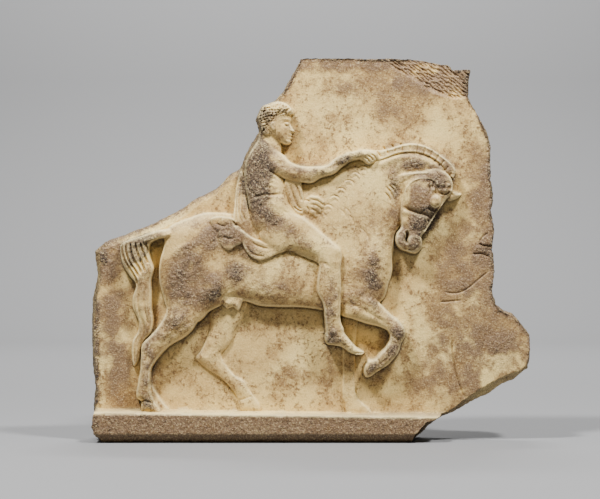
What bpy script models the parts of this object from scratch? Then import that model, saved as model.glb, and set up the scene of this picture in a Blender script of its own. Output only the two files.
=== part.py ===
"""A broken marble votive relief: a young rider on a striding horse, over a ground ledge, in one block."""

import math

import bmesh
import bpy
import numpy as np

# Driving sizes, in metres
SLAB_WIDTH = 0.522
SLAB_HEIGHT = 0.455
SLAB_THICKNESS = 0.055  # behind the sunk background
FIGURE_RISE = 0.030  # the highest carving, in front of the background
LEDGE_DEPTH = 0.028
LEDGE_HEIGHT = 0.037
EDGE_SLOPE_DEPTH = 0.016  # how far back the sloping broken edges run
CARVING_GRID = 0.0017
FACE_TRIANGLES = 8200

# The drawing: x to the right and y down, in units. The slab's edges lie behind the figures, so they are
# spread a little about the middle of the view.
VIEW_MIDDLE = (300.0, 249.5)
EDGE_SPREAD = 1.008
LEDGE_TOP = 411.0
LEDGE_LEFT = 96.0
LEDGE_TILT = 0.0145
WORN_FROM = 433.0
FIGURE_TOP = 31.5  # the highest form, in units of rise

# The slab's edge, clockwise from its top left, as (x, y, inset of the front edge)
SLAB_EDGE = [
    (301, 60, 1), (325, 58.5, 1), (370, 59.5, 1), (420, 61, 1), (448, 65, 1), (453, 71, 1),
    (471, 70, 0.5), (468, 80, 1), (468, 97, 1), (476, 112, 1.5), (485, 130, 1.5), (491, 147, 1.5),
    (489, 168, 1), (493, 200, 1.5), (490, 211, 1), (495, 231, 1.5), (491, 250, 1), (494.5, 271, 1.5),
    (492, 291, 1), (496, 305, 1), (504, 312, 1.5), (513, 315, 1.5), (525, 328, 1.5), (530, 335, 2),
    (530.6, 352, 2), (527, 368, 2.5), (516, 377, 6.5), (504, 382.6, 8), (487, 393, 9), (470, 401.5, 7),
    (455, 411, 5), (439.5, 418, 4), (428, 424, 6), (417, 436.5, 7), (409, 441, 1), (300, 441, 0.5),
    (180, 441, 0.5), (105, 441, 1), (97, 435, 2), (92.5, 425, 2), (94.5, 413, 2), (95, 390, 3),
    (93, 355, 3), (91, 319, 5), (93, 297, 4), (98, 276, 5), (95, 258, 7), (95, 251, 6),
    (105, 243.5, 7), (130, 234, 6), (155, 223.5, 8), (180, 211, 9), (200, 197.3, 7), (216, 189, 5),
    (232, 174.5, 5), (240, 170, 3), (250, 149, 3), (260, 131, 2.5), (257, 118, 2), (262, 107, 2),
    (276, 101, 2), (285, 91, 2), (296, 70, 1.5),
]


def spread(x, y):
    """A point of the slab's edge, moved out from the middle of the view."""
    return tuple(m + (v - m) * EDGE_SPREAD for v, m in zip((x, y), VIEW_MIDDLE))


EDGE = [spread(x, y) for x, y, _ in SLAB_EDGE]
LEFT, TOP = np.min(EDGE, axis=0)
RIGHT, BASE = np.max(EDGE, axis=0)
UNIT = SLAB_WIDTH / (RIGHT - LEFT)
UPRIGHT_UNIT = (SLAB_HEIGHT - LEDGE_HEIGHT) / (LEDGE_TOP - TOP)
RISE_UNIT = FIGURE_RISE / FIGURE_TOP
BACKGROUND_Y = (FIGURE_RISE - SLAB_THICKNESS) / 2
BACK_Y = BACKGROUND_Y + SLAB_THICKNESS


def to_x(x):
    return (x - (LEFT + RIGHT) / 2) * UNIT


def to_z(y):
    above = LEDGE_HEIGHT + (LEDGE_TOP - y) * UPRIGHT_UNIT
    below = LEDGE_HEIGHT * (BASE - y) / (BASE - LEDGE_TOP)
    return np.where(y < LEDGE_TOP, above, below)


def curve_through(points, closed, per_span=6):
    """Points along a smooth curve that passes through the given ones."""
    p = np.array(points, float)
    if closed:
        p = np.vstack([p[-1:], p, p[:2]])
    else:
        p = np.vstack([2 * p[0] - p[1], p, 2 * p[-1] - p[-2]])
    gaps = np.sqrt(np.maximum(np.linalg.norm(np.diff(p[:, :2], axis=0), axis=1), 1e-6))
    rows = []
    for i in range(1, len(p) - 2):
        before, here, after = gaps[i - 1 : i + 2]
        ahead = (p[i + 1] - p[i]) / here
        leaving = (p[i] - p[i - 1]) / before - (p[i + 1] - p[i - 1]) / (before + here) + ahead
        arriving = ahead - (p[i + 2] - p[i]) / (here + after) + (p[i + 2] - p[i + 1]) / after
        for t in np.arange(per_span) / per_span:
            stay = 2 * t**3 - 3 * t**2 + 1
            bend = (t**3 - 2 * t**2 + t) * here * leaving + (t**3 - t**2) * here * arriving
            rows.append(stay * p[i] + (1 - stay) * p[i + 1] + bend)
    if not closed:
        rows.append(p[-2])
    return np.array(rows)


def blurred(field, cells):
    """The field smoothed three times over a square that reaches this many cells."""
    n = max(1, round(cells))
    for axis in (0, 1, 0, 1, 0, 1):
        pad = [(n + 1, n) if a == axis else (0, 0) for a in (0, 1)]
        total = np.cumsum(np.pad(field, pad, mode="edge"), axis=axis)
        size = field.shape[axis]
        high = np.take(total, np.arange(size) + 2 * n + 1, axis=axis)
        low = np.take(total, np.arange(size), axis=axis)
        field = (high - low) / (2 * n + 1)
    return field


def widest(field, cells):
    """The largest value within this many cells each way."""
    done = 0
    while done < cells:
        step = min(max(1, done), cells - done)
        for axis in (0, 1):
            beside = np.maximum(np.roll(field, step, axis), np.roll(field, -step, axis))
            field = np.maximum(field, beside)
        done += step
    return field


def hill(X, Y, x, y, rx, ry, turn, height):
    """A soft oval hill, turned clockwise by some degrees."""
    a = math.radians(turn)
    u = (X - x) * math.cos(a) + (Y - y) * math.sin(a)
    v = (Y - y) * math.cos(a) - (X - x) * math.sin(a)
    return height * np.exp(-((u / rx) ** 2 + (v / ry) ** 2))


def ramp(X, Y, start, end, low, high):
    """A value that eases from low at start to high at end."""
    dx, dy = end[0] - start[0], end[1] - start[1]
    t = np.clip(((X - start[0]) * dx + (Y - start[1]) * dy) / (dx * dx + dy * dy), 0, 1)
    return low + (high - low) * t * t * (3 - 2 * t)


def oval(x, y, rx, ry, turn=0, count=12):
    """Points round an oval, turned clockwise by some degrees."""
    a = math.radians(turn)
    points = []
    for k in range(count):
        u = rx * math.cos(2 * math.pi * k / count)
        v = ry * math.sin(2 * math.pi * k / count)
        points.append((x + u * math.cos(a) - v * math.sin(a), y + u * math.sin(a) + v * math.cos(a)))
    return points


class Relief:
    """The carved face: heights above the background, in units, on a grid over the drawing."""

    def __init__(self, left, right, top, bottom, step):
        self.step = step
        self.x = np.arange(left, right + step, step)
        self.y = np.arange(top, bottom + step, step)
        self.X, self.Y = np.meshgrid(self.x, self.y)
        self.h = np.zeros(self.X.shape)

    def window(self, points, margin):
        """The rows and columns of the grid around these points."""
        p = np.array([q[:2] for q in points], float)
        low = p.min(axis=0) - margin
        high = p.max(axis=0) + margin
        cols = np.searchsorted(self.x, [low[0], high[0]])
        rows = np.searchsorted(self.y, [low[1], high[1]])
        return slice(*rows), slice(*cols)

    def from_path(self, path, margin, closed=False):
        """The window round a smooth path, with the distance to it and the place along it there."""
        curve = curve_through([q[:2] for q in path], closed)
        at = self.window(curve, margin)
        X, Y = self.X[at], self.Y[at]
        nearest = np.full(X.shape, np.inf)
        along = np.zeros(X.shape)
        inside = np.zeros(X.shape, bool)
        ends = np.roll(curve, -1, 0) if closed else curve[1:]
        for k, ((x0, y0), (x1, y1)) in enumerate(zip(curve, ends)):
            dx, dy = x1 - x0, y1 - y0
            t = np.clip(((X - x0) * dx + (Y - y0) * dy) / (dx * dx + dy * dy + 1e-12), 0, 1)
            distance = np.hypot(X - x0 - t * dx, Y - y0 - t * dy)
            closer = distance < nearest
            nearest = np.where(closer, distance, nearest)
            along = np.where(closer, (k + t) / 6, along)
            if closed and dy != 0:
                inside ^= ((Y >= y0) != (Y >= y1)) & (X < x0 + (Y - y0) * dx / dy)
        if closed:
            nearest = np.where(inside, nearest, -nearest)
        return at, nearest, along

    def lay(self, at, inward, height, blend, gutter):
        """Lays a form over what is there, with a cut round it where it stands proud."""
        under = self.h[at]
        proud = np.clip((height - under) / 4, 0, 1)
        shaded = np.clip(0.25 - 0.25 * np.gradient(inward, self.step, axis=0), 0.05, 0.5)
        under = under - gutter * shaded * proud * np.exp(-((np.minimum(inward, 0) / 1.6) ** 2))
        joined = np.maximum(under, height)
        if blend:
            joined += np.maximum(blend - np.abs(under - height), 0) ** 2 / (4 * blend)
        cover = np.clip(inward / (1.1 * self.step) + 0.5, 0, 1)
        self.h[at] = under + (joined - under) * cover

    def form(self, outline, top, bulge=0.75, round_over=14.0, blend=0.0, gutter=0.0):
        """A rounded form inside a smooth outline, falling away over round_over or its half width."""
        at, inward, _ = self.from_path(outline, 8, closed=True)
        half = blurred(widest(np.maximum(inward, 0.3), int(round_over / self.step) + 1), 3 / self.step)
        half = np.clip(half, 0.6, round_over)
        t = np.clip(inward / half, 0, 1)
        height = top(self.X[at], self.Y[at]) if callable(top) else top
        height = height - bulge * half * (1 - np.sqrt(t * (2 - t)))
        self.lay(at, inward, height, blend, gutter)

    def limb(self, stations, bulge=0.75, blend=0.0, gutter=0.0):
        """A rounded limb along stations of (x, y, half width, height)."""
        at, distance, along = self.from_path(stations, 10)
        places = np.arange(len(stations))
        half = np.interp(along, places, [s[2] for s in stations])
        top = np.interp(along, places, [s[3] for s in stations])
        q = np.clip(distance / half, 0, 1)
        self.lay(at, half - distance, top - bulge * half * (1 - np.sqrt(1 - q * q)), blend, gutter)

    def swell(self, x, y, rx, ry, turn, height):
        """Raises a soft oval, or sinks one when height is negative."""
        at = self.window([(x, y)], 2.6 * max(rx, ry))
        self.h[at] += hill(self.X[at], self.Y[at], x, y, rx, ry, turn, height)

    def cut(self, path, width, depth, fade=0.15):
        """Cuts a groove along a path, or raises a ridge when depth is negative."""
        at, distance, along = self.from_path(path, 3.5 * width)
        share = along / (len(path) - 1)
        ends = np.clip(np.minimum(share, 1 - share) / max(fade, 1e-3), 0, 1)
        self.h[at] -= depth * np.exp(-((distance / width) ** 2)) * ends

    def soften(self, outline, reach, inner):
        """Smooths the carving inside an outline, from inner units off its edge."""
        at, inward, _ = self.from_path(outline, 8, closed=True)
        smooth = blurred(self.h[at], reach / self.step / 1.7)
        share = np.clip((inward - inner) / 4, 0, 1)
        self.h[at] += (smooth - self.h[at]) * share


FAR_FORELEG = [
    (343, 306), (342, 325), (343, 355), (343, 375), (343, 399), (345.6, 404.7), (346, 412),
    (346.5, 418), (350, 422.5), (355, 421.5), (358, 418.5), (370, 417), (373, 414.3), (367, 407),
    (361.6, 402), (357, 395), (355, 385), (355.5, 370), (356, 350), (358, 325), (360, 306),
]
FAR_HIND_LEG = [
    (209.8, 300), (209.8, 325), (205, 340), (199, 352), (194.5, 358.5), (200.4, 364.3), (208, 370.6),
    (218.8, 377.3), (228.7, 386.8), (236, 397), (238.6, 407), (241.5, 412), (251, 414), (259.5, 412),
    (260, 407), (253, 396), (248.5, 390), (244, 381.8), (235, 376.4), (226, 366.5), (220.6, 354.8),
    (226, 348.5), (231.4, 340.4), (234, 331), (242.7, 317), (246, 300),
]
TAIL = [
    (172, 230), (173, 240), (166, 238), (157, 239.5), (150, 244), (149, 253), (151, 262), (153, 269),
    (150.5, 280), (151, 292), (151.3, 310), (152.5, 320), (150, 333), (143, 341), (140, 349),
    (138, 360), (133, 367), (130.7, 355), (131.5, 342), (137, 332), (137.5, 322), (132, 308),
    (131.7, 298), (135, 285), (129, 276), (122, 265), (119.5, 254), (120, 245), (126, 240.5),
    (140, 236), (155, 231),
]
TRUNK = [
    (165, 232), (170, 226), (180, 221), (190, 217.3), (204, 212.8), (223, 212.7), (240, 214),
    (262, 205), (285, 190), (310, 178), (335, 168), (355, 158), (372, 151.5), (390, 149), (410.7, 144),
    (426.7, 147), (438.4, 154), (449, 163), (454, 172), (448, 185), (430, 200), (412, 215), (401, 226),
    (395, 236), (394.5, 246), (393, 258), (393, 269), (391.5, 277), (389, 284), (387, 292), (384, 299),
    (372, 308), (355, 316), (341, 315), (319, 309.6), (300, 307.4), (274, 307), (258.5, 305.6),
    (247, 301.8), (240, 300.6), (233, 297.5), (227, 298.5), (221.5, 305), (210, 311), (198, 322),
    (180, 322), (166.5, 309), (162, 296), (158.6, 282), (158.2, 268), (160, 257), (163, 247),
]
NEAR_HIND_LEG = [
    (166, 308), (165, 314), (158, 326), (150, 335.5), (141.5, 344.5), (140.2, 358), (139.3, 372),
    (136.7, 387), (135.7, 397), (140.5, 402), (140.3, 407), (142, 411.5), (151, 414), (161, 413),
    (159, 408), (154, 401), (150.7, 391), (150, 378), (151.2, 368.5), (155.5, 361.5), (162, 353),
    (170, 345.5), (183, 338), (191, 331.5), (197, 323), (205, 315), (207, 300), (190, 284), (170, 288),
]
NEAR_FORELEG = [
    (344, 296), (364, 290), (374, 297), (383, 306), (391, 314), (400, 321), (405, 329), (405.5, 336),
    (401.5, 343.5), (399, 352), (393, 360), (387, 366), (378, 371.5), (370, 377), (366, 377.3),
    (363.7, 373), (364.6, 365.5), (368, 360), (375, 359), (380, 353), (386, 346.5), (390, 338),
    (388, 331.3), (380, 327), (366, 323.5), (353, 319), (341, 315), (336, 303),
]
HORSE_HEAD = [
    (438, 169), (449, 175), (453, 182), (452, 193), (446.5, 200), (439, 210), (432, 221.5), (426, 231),
    (421.5, 238), (422.8, 247), (416, 253.5), (409, 252), (400.5, 249), (395.7, 242), (396.5, 233.5),
    (401, 227), (400.4, 214), (401, 201), (404, 189), (410, 180), (424, 171.5),
]
CLOAK_FALL = [
    (240.5, 169), (244, 176), (246, 192.7), (249, 210.4), (252, 222), (256.5, 232.5), (266, 238),
    (268, 243), (256, 242), (246, 236), (239, 228), (233, 222), (233.8, 208), (235.5, 190),
    (237.8, 178),
]
FLAPS = [
    [
        (210.2, 219), (216, 216.5), (224, 216.5), (232, 218), (236, 222), (232.5, 228), (226, 232.5),
        (218.5, 231.5), (212.5, 226.5),
    ],
    [
        (219.5, 231), (228, 231.5), (233.5, 226), (238, 226), (242, 231), (244.3, 237), (241.8, 243.2),
        (235.3, 246.4), (230, 250), (223.6, 247.6), (219, 241),
    ],
    [
        (240.5, 229.5), (247, 234), (255, 239), (266, 241), (279, 240), (284, 245), (284, 251),
        (277, 253.8), (268.5, 258.2), (260, 260), (253.4, 258.2), (247, 252.6), (242.8, 244),
    ],
]
TORSO = [
    (257, 144), (266, 143), (275, 150), (281, 160), (283, 170), (284, 177), (285.6, 184.3),
    (287.6, 196), (290, 204), (296, 212), (304, 219), (304, 230), (292, 240), (272, 239),
    (259.5, 234.5), (252.5, 227), (250, 217), (247.6, 202), (245, 188), (244, 172), (245.5, 160),
    (250, 151.5),
]
RIDER_LEG = [
    (284, 212), (302, 216.5), (311.7, 224), (323.8, 234.2), (334, 243), (340.8, 249.5), (341.8, 257),
    (340.3, 270), (341, 285), (340.4, 303), (340.5, 320), (344, 331.5), (350, 340), (357, 347.5),
    (364.5, 352.3), (360, 355), (351, 353), (342.5, 347.3), (334, 345.3), (327, 344), (324.8, 339),
    (326, 331), (324.8, 320), (323.3, 305), (317, 292), (317, 282), (319, 270), (318, 263.5),
    (308, 258.5), (297.7, 254.3), (289.5, 250.5), (279, 253), (266, 246), (259, 234), (268, 222),
]
NEAR_ARM = [
    (257, 148), (260, 142), (266, 142.8), (274.7, 149), (284, 155), (290, 161.5), (299, 165.4),
    (312, 166.4), (327, 164.8), (335, 158.5), (345, 153.6), (356, 150.6), (366, 149.3), (374, 150.6),
    (377.5, 155), (374.5, 162), (368, 164.5), (361, 160), (352, 161), (342.5, 167), (334, 174),
    (321, 178), (312, 183), (299, 182), (284, 179), (273, 174), (264, 167), (258.5, 158),
]
RIDER_NECK = [
    (260, 126), (280, 128), (280, 138), (281.5, 152), (276, 160), (262, 158), (253, 148), (258, 139),
]
# The rider's head: a plain profile of equal thirds, from the hairline to the brow, nose and chin
HEAD = [
    (265, 107), (272, 104), (280, 103.5), (286, 106), (289.5, 110.5), (291, 116), (291, 120.6),
    (290.2, 122.8), (292.2, 127.4), (294.4, 131), (293.8, 132.6), (291.6, 133.2), (292.4, 135.2),
    (291.2, 136.6), (292, 138.2), (290.5, 139.8), (291.2, 142), (289.2, 144), (284.5, 144.4),
    (278, 141.5), (271, 138), (264, 135), (259.5, 128), (258.6, 118),
]


TRUNK_MUSCLES = [
    (196, 252, 30, 34, 20, 5.5),     # haunch
    (212, 290, 14, 18, 10, 3.5),     # stifle
    (182, 300, 12, 20, -15, 2.0),
    (168, 268, 7, 26, 0, 1.2),
    (275, 280, 46, 24, 0, 3.0),      # barrel
    (360, 268, 16, 28, 15, 4.0),     # shoulder
    (376, 268, 12, 26, 5, 3.5),      # breast
    (358, 300, 18, 12, 20, 4.0),     # upper arm
    (366, 205, 18, 34, 25, 1.5),     # neck
    (238, 262, 12, 26, -8, -2.0),    # flank hollow
    (302, 205, 16, 14, 0, -2.5),
    (345, 190, 12, 30, 50, -1.0),
]


def trunk_top(X, Y):
    top = ramp(X, Y, (395, 165), (330, 250), 15.5, 20.0)
    for muscle in TRUNK_MUSCLES:
        top = top + hill(X, Y, *muscle)
    return top


def carve(r):
    """Carves the whole face, from the parts farthest back to the nearest."""
    far_legs(r)
    tail(r)
    trunk(r)
    near_legs(r)
    neck_and_mane(r)
    horse_head(r)
    cloak(r)
    far_hand(r)
    rider(r)
    rider_head(r)
    near_arm(r)
    ledge(r)


def far_legs(r):
    r.form(FAR_HIND_LEG, lambda X, Y: ramp(X, Y, (225, 320), (245, 405), 7.5, 6.0), bulge=0.45, gutter=0.8)
    r.form(FAR_FORELEG, 5.0, bulge=0.5, round_over=5, gutter=0.7)
    r.swell(358, 410, 7, 5, 25, 1.5)
    r.swell(203, 357, 6, 5, 30, 1.2)
    r.swell(241, 390, 6, 5, 30, 1.0)
    r.cut([(212, 345), (207, 352), (205, 358)], 2.0, 0.8)
    r.cut([(236, 401), (244, 399.5), (252, 396)], 0.9, 0.9)
    r.swell(247, 407, 7, 5, 20, 0.8)


TAIL_LOCKS = [
    [(121.5, 243), (122, 252), (125.5, 262), (131, 271), (135.5, 279), (137, 286)],
    [(125.5, 242.5), (126, 252), (129.5, 262), (135, 270), (139, 278)],
    [(130, 242), (131, 251), (134, 260), (138.5, 267), (141.5, 274)],
    [(135, 242), (136.5, 250), (139.5, 258), (143, 266), (145.5, 273)],
    [(140, 242), (142, 249), (145, 257), (148, 264)],
    [(145, 243), (147, 248), (149.3, 255)],
    [(134.5, 290), (132.5, 300), (135, 313), (138.5, 325), (138, 336)],
    [(139, 292), (137.5, 303), (140, 316), (143.5, 328), (142, 338)],
    [(146, 286), (143.5, 298), (145, 312), (148.5, 326)],
    [(138, 334), (134.5, 343), (133.5, 352), (133.5, 363)],
]


def tail(r):
    def top(X, Y):
        return ramp(X, Y, (160, 236), (140, 290), 19, 16) - ramp(X, Y, (140, 300), (134, 360), 0, 8)

    r.cut([(158, 241), (156.5, 254), (157.5, 272), (156, 292), (156.5, 312)], 3.2, 3.0, fade=0.12)
    r.form(TAIL, top, bulge=0.7, round_over=9, gutter=1.5)
    for k, lock in enumerate(TAIL_LOCKS):
        r.cut(lock, 0.95, 3.6 if k < 6 else 1.6, fade=0.1)
    for lock in TAIL_LOCKS[:6]:
        r.cut([(x + 2.2, y + 0.4) for x, y in lock], 0.9, -1.3, fade=0.2)
    # The tail's root, with the dark recess below it
    r.cut([(151, 246.5), (158, 244), (166, 242)], 2.0, 4.0, fade=0.2)
    r.cut([(174, 233), (162, 236), (150, 239.5), (141, 240.5)], 2.2, -2.4, fade=0.15)


def trunk(r):
    r.form(TRUNK, trunk_top, bulge=0.55, round_over=20, gutter=2.0)
    r.cut([(230, 236), (233, 258), (231, 276), (228, 290)], 5.0, 1.6, fade=0.45)
    r.cut([(186, 305), (192, 296), (196, 280), (200, 262)], 4.0, 1.0, fade=0.4)
    r.cut([(206, 306), (203.5, 301), (201, 296)], 1.0, 0.8)
    r.cut([(252, 262), (262, 282), (266, 300)], 4.5, 0.6, fade=0.4)
    # Shoulder, breast and the fold over the upper arm
    r.cut([(344, 316), (352, 305), (364, 296), (376, 290)], 2.6, 1.2, fade=0.3)
    r.cut([(350, 240), (362, 256), (366, 274), (362, 290)], 3.5, 1.3, fade=0.4)
    r.cut([(396, 232), (386, 246), (380, 262), (380, 280)], 3.0, 1.2, fade=0.4)
    r.swell(386, 284, 5, 9, 15, 1.6)
    r.swell(372, 262, 7, 12, 10, 1.2)
    r.cut([(389, 262), (388, 272), (391, 280)], 1.6, 1.0, fade=0.3)
    # The crease between thigh and belly, and the shaded underside of the belly
    r.cut([(221, 301), (224, 294.5), (229, 289), (238, 285)], 1.3, 1.5, fade=0.25)
    r.cut([(231, 296), (246, 297), (262, 300.5), (290, 303)], 3.0, 2.0, fade=0.3)
    r.form(SHEATH, 15, bulge=0.7, round_over=5, blend=3, gutter=0.5)
    r.swell(228.5, 303, 3.5, 3, 20, 1.2)
    r.swell(237.5, 305, 2.5, 2.5, 20, 0.8)
    r.soften(TRUNK, 3.5, 5)
    # The stifle between its two valleys
    r.swell(214, 284, 7, 14, 8, 1.8)
    r.cut([(203, 266), (202, 282), (206, 298)], 2.8, 1.3, fade=0.35)
    r.cut([(226, 262), (227, 276), (225, 289)], 2.4, 1.4, fade=0.35)


SHEATH = [
    (221, 297), (232, 295), (243, 299), (241.5, 304), (238, 310.5), (233, 307), (227, 308.5),
    (222.5, 304),
]


def near_legs(r):
    def hind_top(X, Y):
        thigh = ramp(X, Y, (187, 288), (174, 324), 16, 25)
        return thigh - ramp(X, Y, (165, 330), (147, 350), 0, 3) - ramp(X, Y, (147, 385), (148, 402), 0, 3)

    def fore_top(X, Y):
        upper = ramp(X, Y, (352, 292), (364, 306), 17, 25)
        return upper + hill(X, Y, 398, 332, 9, 9, 0, 1.5) - ramp(X, Y, (392, 350), (372, 368), 0, 3)

    # The stone left standing between the hoof and the ground
    r.form(HOOF_REST, 9, bulge=0.6, round_over=8)
    r.form(NEAR_HIND_LEG, hind_top, bulge=0.8, round_over=14, blend=5, gutter=0.9)
    r.soften(NEAR_HIND_LEG, 2.5, 4)
    r.swell(178, 318, 8, 12, 35, 1.5)
    r.cut([(198, 317), (184, 326), (168, 338), (156, 348)], 2.4, 0.9, fade=0.3)
    # Hock, sinew of the cannon, fetlock and hoof
    r.cut([(150, 338), (147, 346), (145.5, 356), (145, 366)], 1.3, 1.8, fade=0.2)
    r.cut([(145, 366), (143.5, 376), (142.5, 388)], 1.1, 1.2, fade=0.2)
    r.cut([(152, 344), (149.5, 352), (149, 362)], 1.0, 1.3, fade=0.2)
    r.swell(154, 352, 3, 4, 20, 1.0)
    r.swell(141.5, 395, 3.5, 4, 0, 1.6)
    r.cut([(139, 402), (143, 400.5), (149, 401.5), (154, 403)], 1.0, 1.6, fade=0.1)
    r.swell(147.5, 407, 5, 3.5, 0, 1.5)
    r.form(NEAR_FORELEG, fore_top, bulge=0.8, round_over=12, blend=4, gutter=0.9)
    r.soften(NEAR_FORELEG, 1.6, 3)
    r.cut([(346, 300), (362, 309), (378, 318), (391, 325)], 2.0, 1.4, fade=0.25)
    r.cut([(352, 296), (366, 301), (380, 309)], 2.0, -0.8, fade=0.3)
    r.swell(401, 330, 3.5, 6, 10, 1.0)
    r.cut([(390, 333), (394, 337), (400, 340)], 1.1, 1.0, fade=0.2)
    r.cut([(396, 345), (391, 353), (384, 360), (376, 366)], 1.2, 0.9, fade=0.2)
    # Fetlock and the tucked hoof
    r.swell(384, 356, 4, 3.5, 40, 1.2)
    r.cut([(376.5, 356.5), (379, 361), (381.5, 366)], 1.0, 1.6, fade=0.1)
    r.swell(370, 368, 4, 5, 30, 1.2)


HOOF_REST = [
    (150, 386), (155, 392), (162, 402), (170, 412), (172, 418), (140, 418), (141, 404), (148, 398),
]


MANE_OUTER = [
    (373, 151), (382, 150), (392, 147.6), (402, 144.4), (411, 143), (420, 144), (430, 147.6),
    (438.4, 153), (446, 158.6), (452.5, 164.5), (456.3, 171.5), (453.5, 178),
]
MANE_INNER = [
    (449, 174.5), (443, 166.5), (436, 160.5), (428, 156), (418, 153), (407, 152.5), (396, 154.3),
    (387, 158), (378, 161),
]


def neck_and_mane(r):
    r.form(MANE_OUTER + MANE_INNER, 17, bulge=0.45, round_over=3.5, gutter=0.25)
    # A roll along the crest and one along the neck, with short cuts across
    crest = [(x + 0.3, y + 1.6) for x, y in MANE_OUTER[1:-1]]
    root = [(x + 0.4, y - 1.3) for x, y in MANE_INNER[1:]]
    r.cut(crest, 1.0, -1.2, fade=0.05)
    r.cut(root, 1.0, -2.2, fade=0.05)
    centre = np.array([412.0, 196.0])
    for turn in np.arange(-47, 60, 8.9):
        a = np.radians(turn)
        out = np.array([np.sin(a), -np.cos(a)])
        reach = np.interp(turn, [-47, 0, 60], [60, 53, 47])
        start = centre + out * (reach - 9)
        end = centre + out * reach
        r.cut([start, (start + end) / 2 + 0.6, end], 0.9, 2.6 if turn < -10 else 0.8, fade=0.1)
    for x, y in TUFTS:
        r.cut([(x - 7, y + 2.5), (x - 1, y - 1.5), (x + 4, y), (x + 7, y + 5)], 0.8, 2.0, fade=0.3)
        r.cut([(x - 6, y + 4.4), (x - 1, y + 0.4), (x + 3, y + 1.8), (x + 6, y + 6)], 0.75, -0.9, fade=0.3)
        r.cut([(x - 5, y + 6), (x + 0.5, y + 3), (x + 4, y + 5)], 0.75, 1.5, fade=0.3)
    for start, end in NECK_LINES:
        middle = (np.array(start) + np.array(end)) / 2 + np.array([1.5, -1.0])
        r.cut([start, middle, end], 0.9, 1.1, fade=0.3)


TUFTS = [(328, 206), (334.5, 197), (341, 189.5), (348.5, 181.5), (355, 173.5), (363, 166.5)]
NECK_LINES = [
    ((338, 208), (347, 219)), ((342, 206), (352, 217)), ((347, 214), (354, 224)),
    ((358, 226), (370, 241)), ((322, 212), (326, 219)), ((385, 186), (394, 200)),
    ((388, 184), (398, 198)), ((384, 192), (391, 203)), ((391, 183), (400, 195)),
]


FAR_EAR = [(449, 191), (457, 192.3), (462.6, 194.2), (457, 198.6), (449, 200.5)]
EAR = [
    (436, 184), (441, 179.5), (448, 179), (452.5, 184), (452.5, 191), (448, 195.5), (441, 194.5),
    (438, 190),
]
CHEEK_BAND = [
    (394, 190), (396, 180), (400, 174.8), (408, 173), (420, 172), (432, 172.2), (440, 175), (445, 181),
    (438, 186), (428, 182), (416, 182), (408, 189), (403, 200), (397, 199),
]


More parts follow.
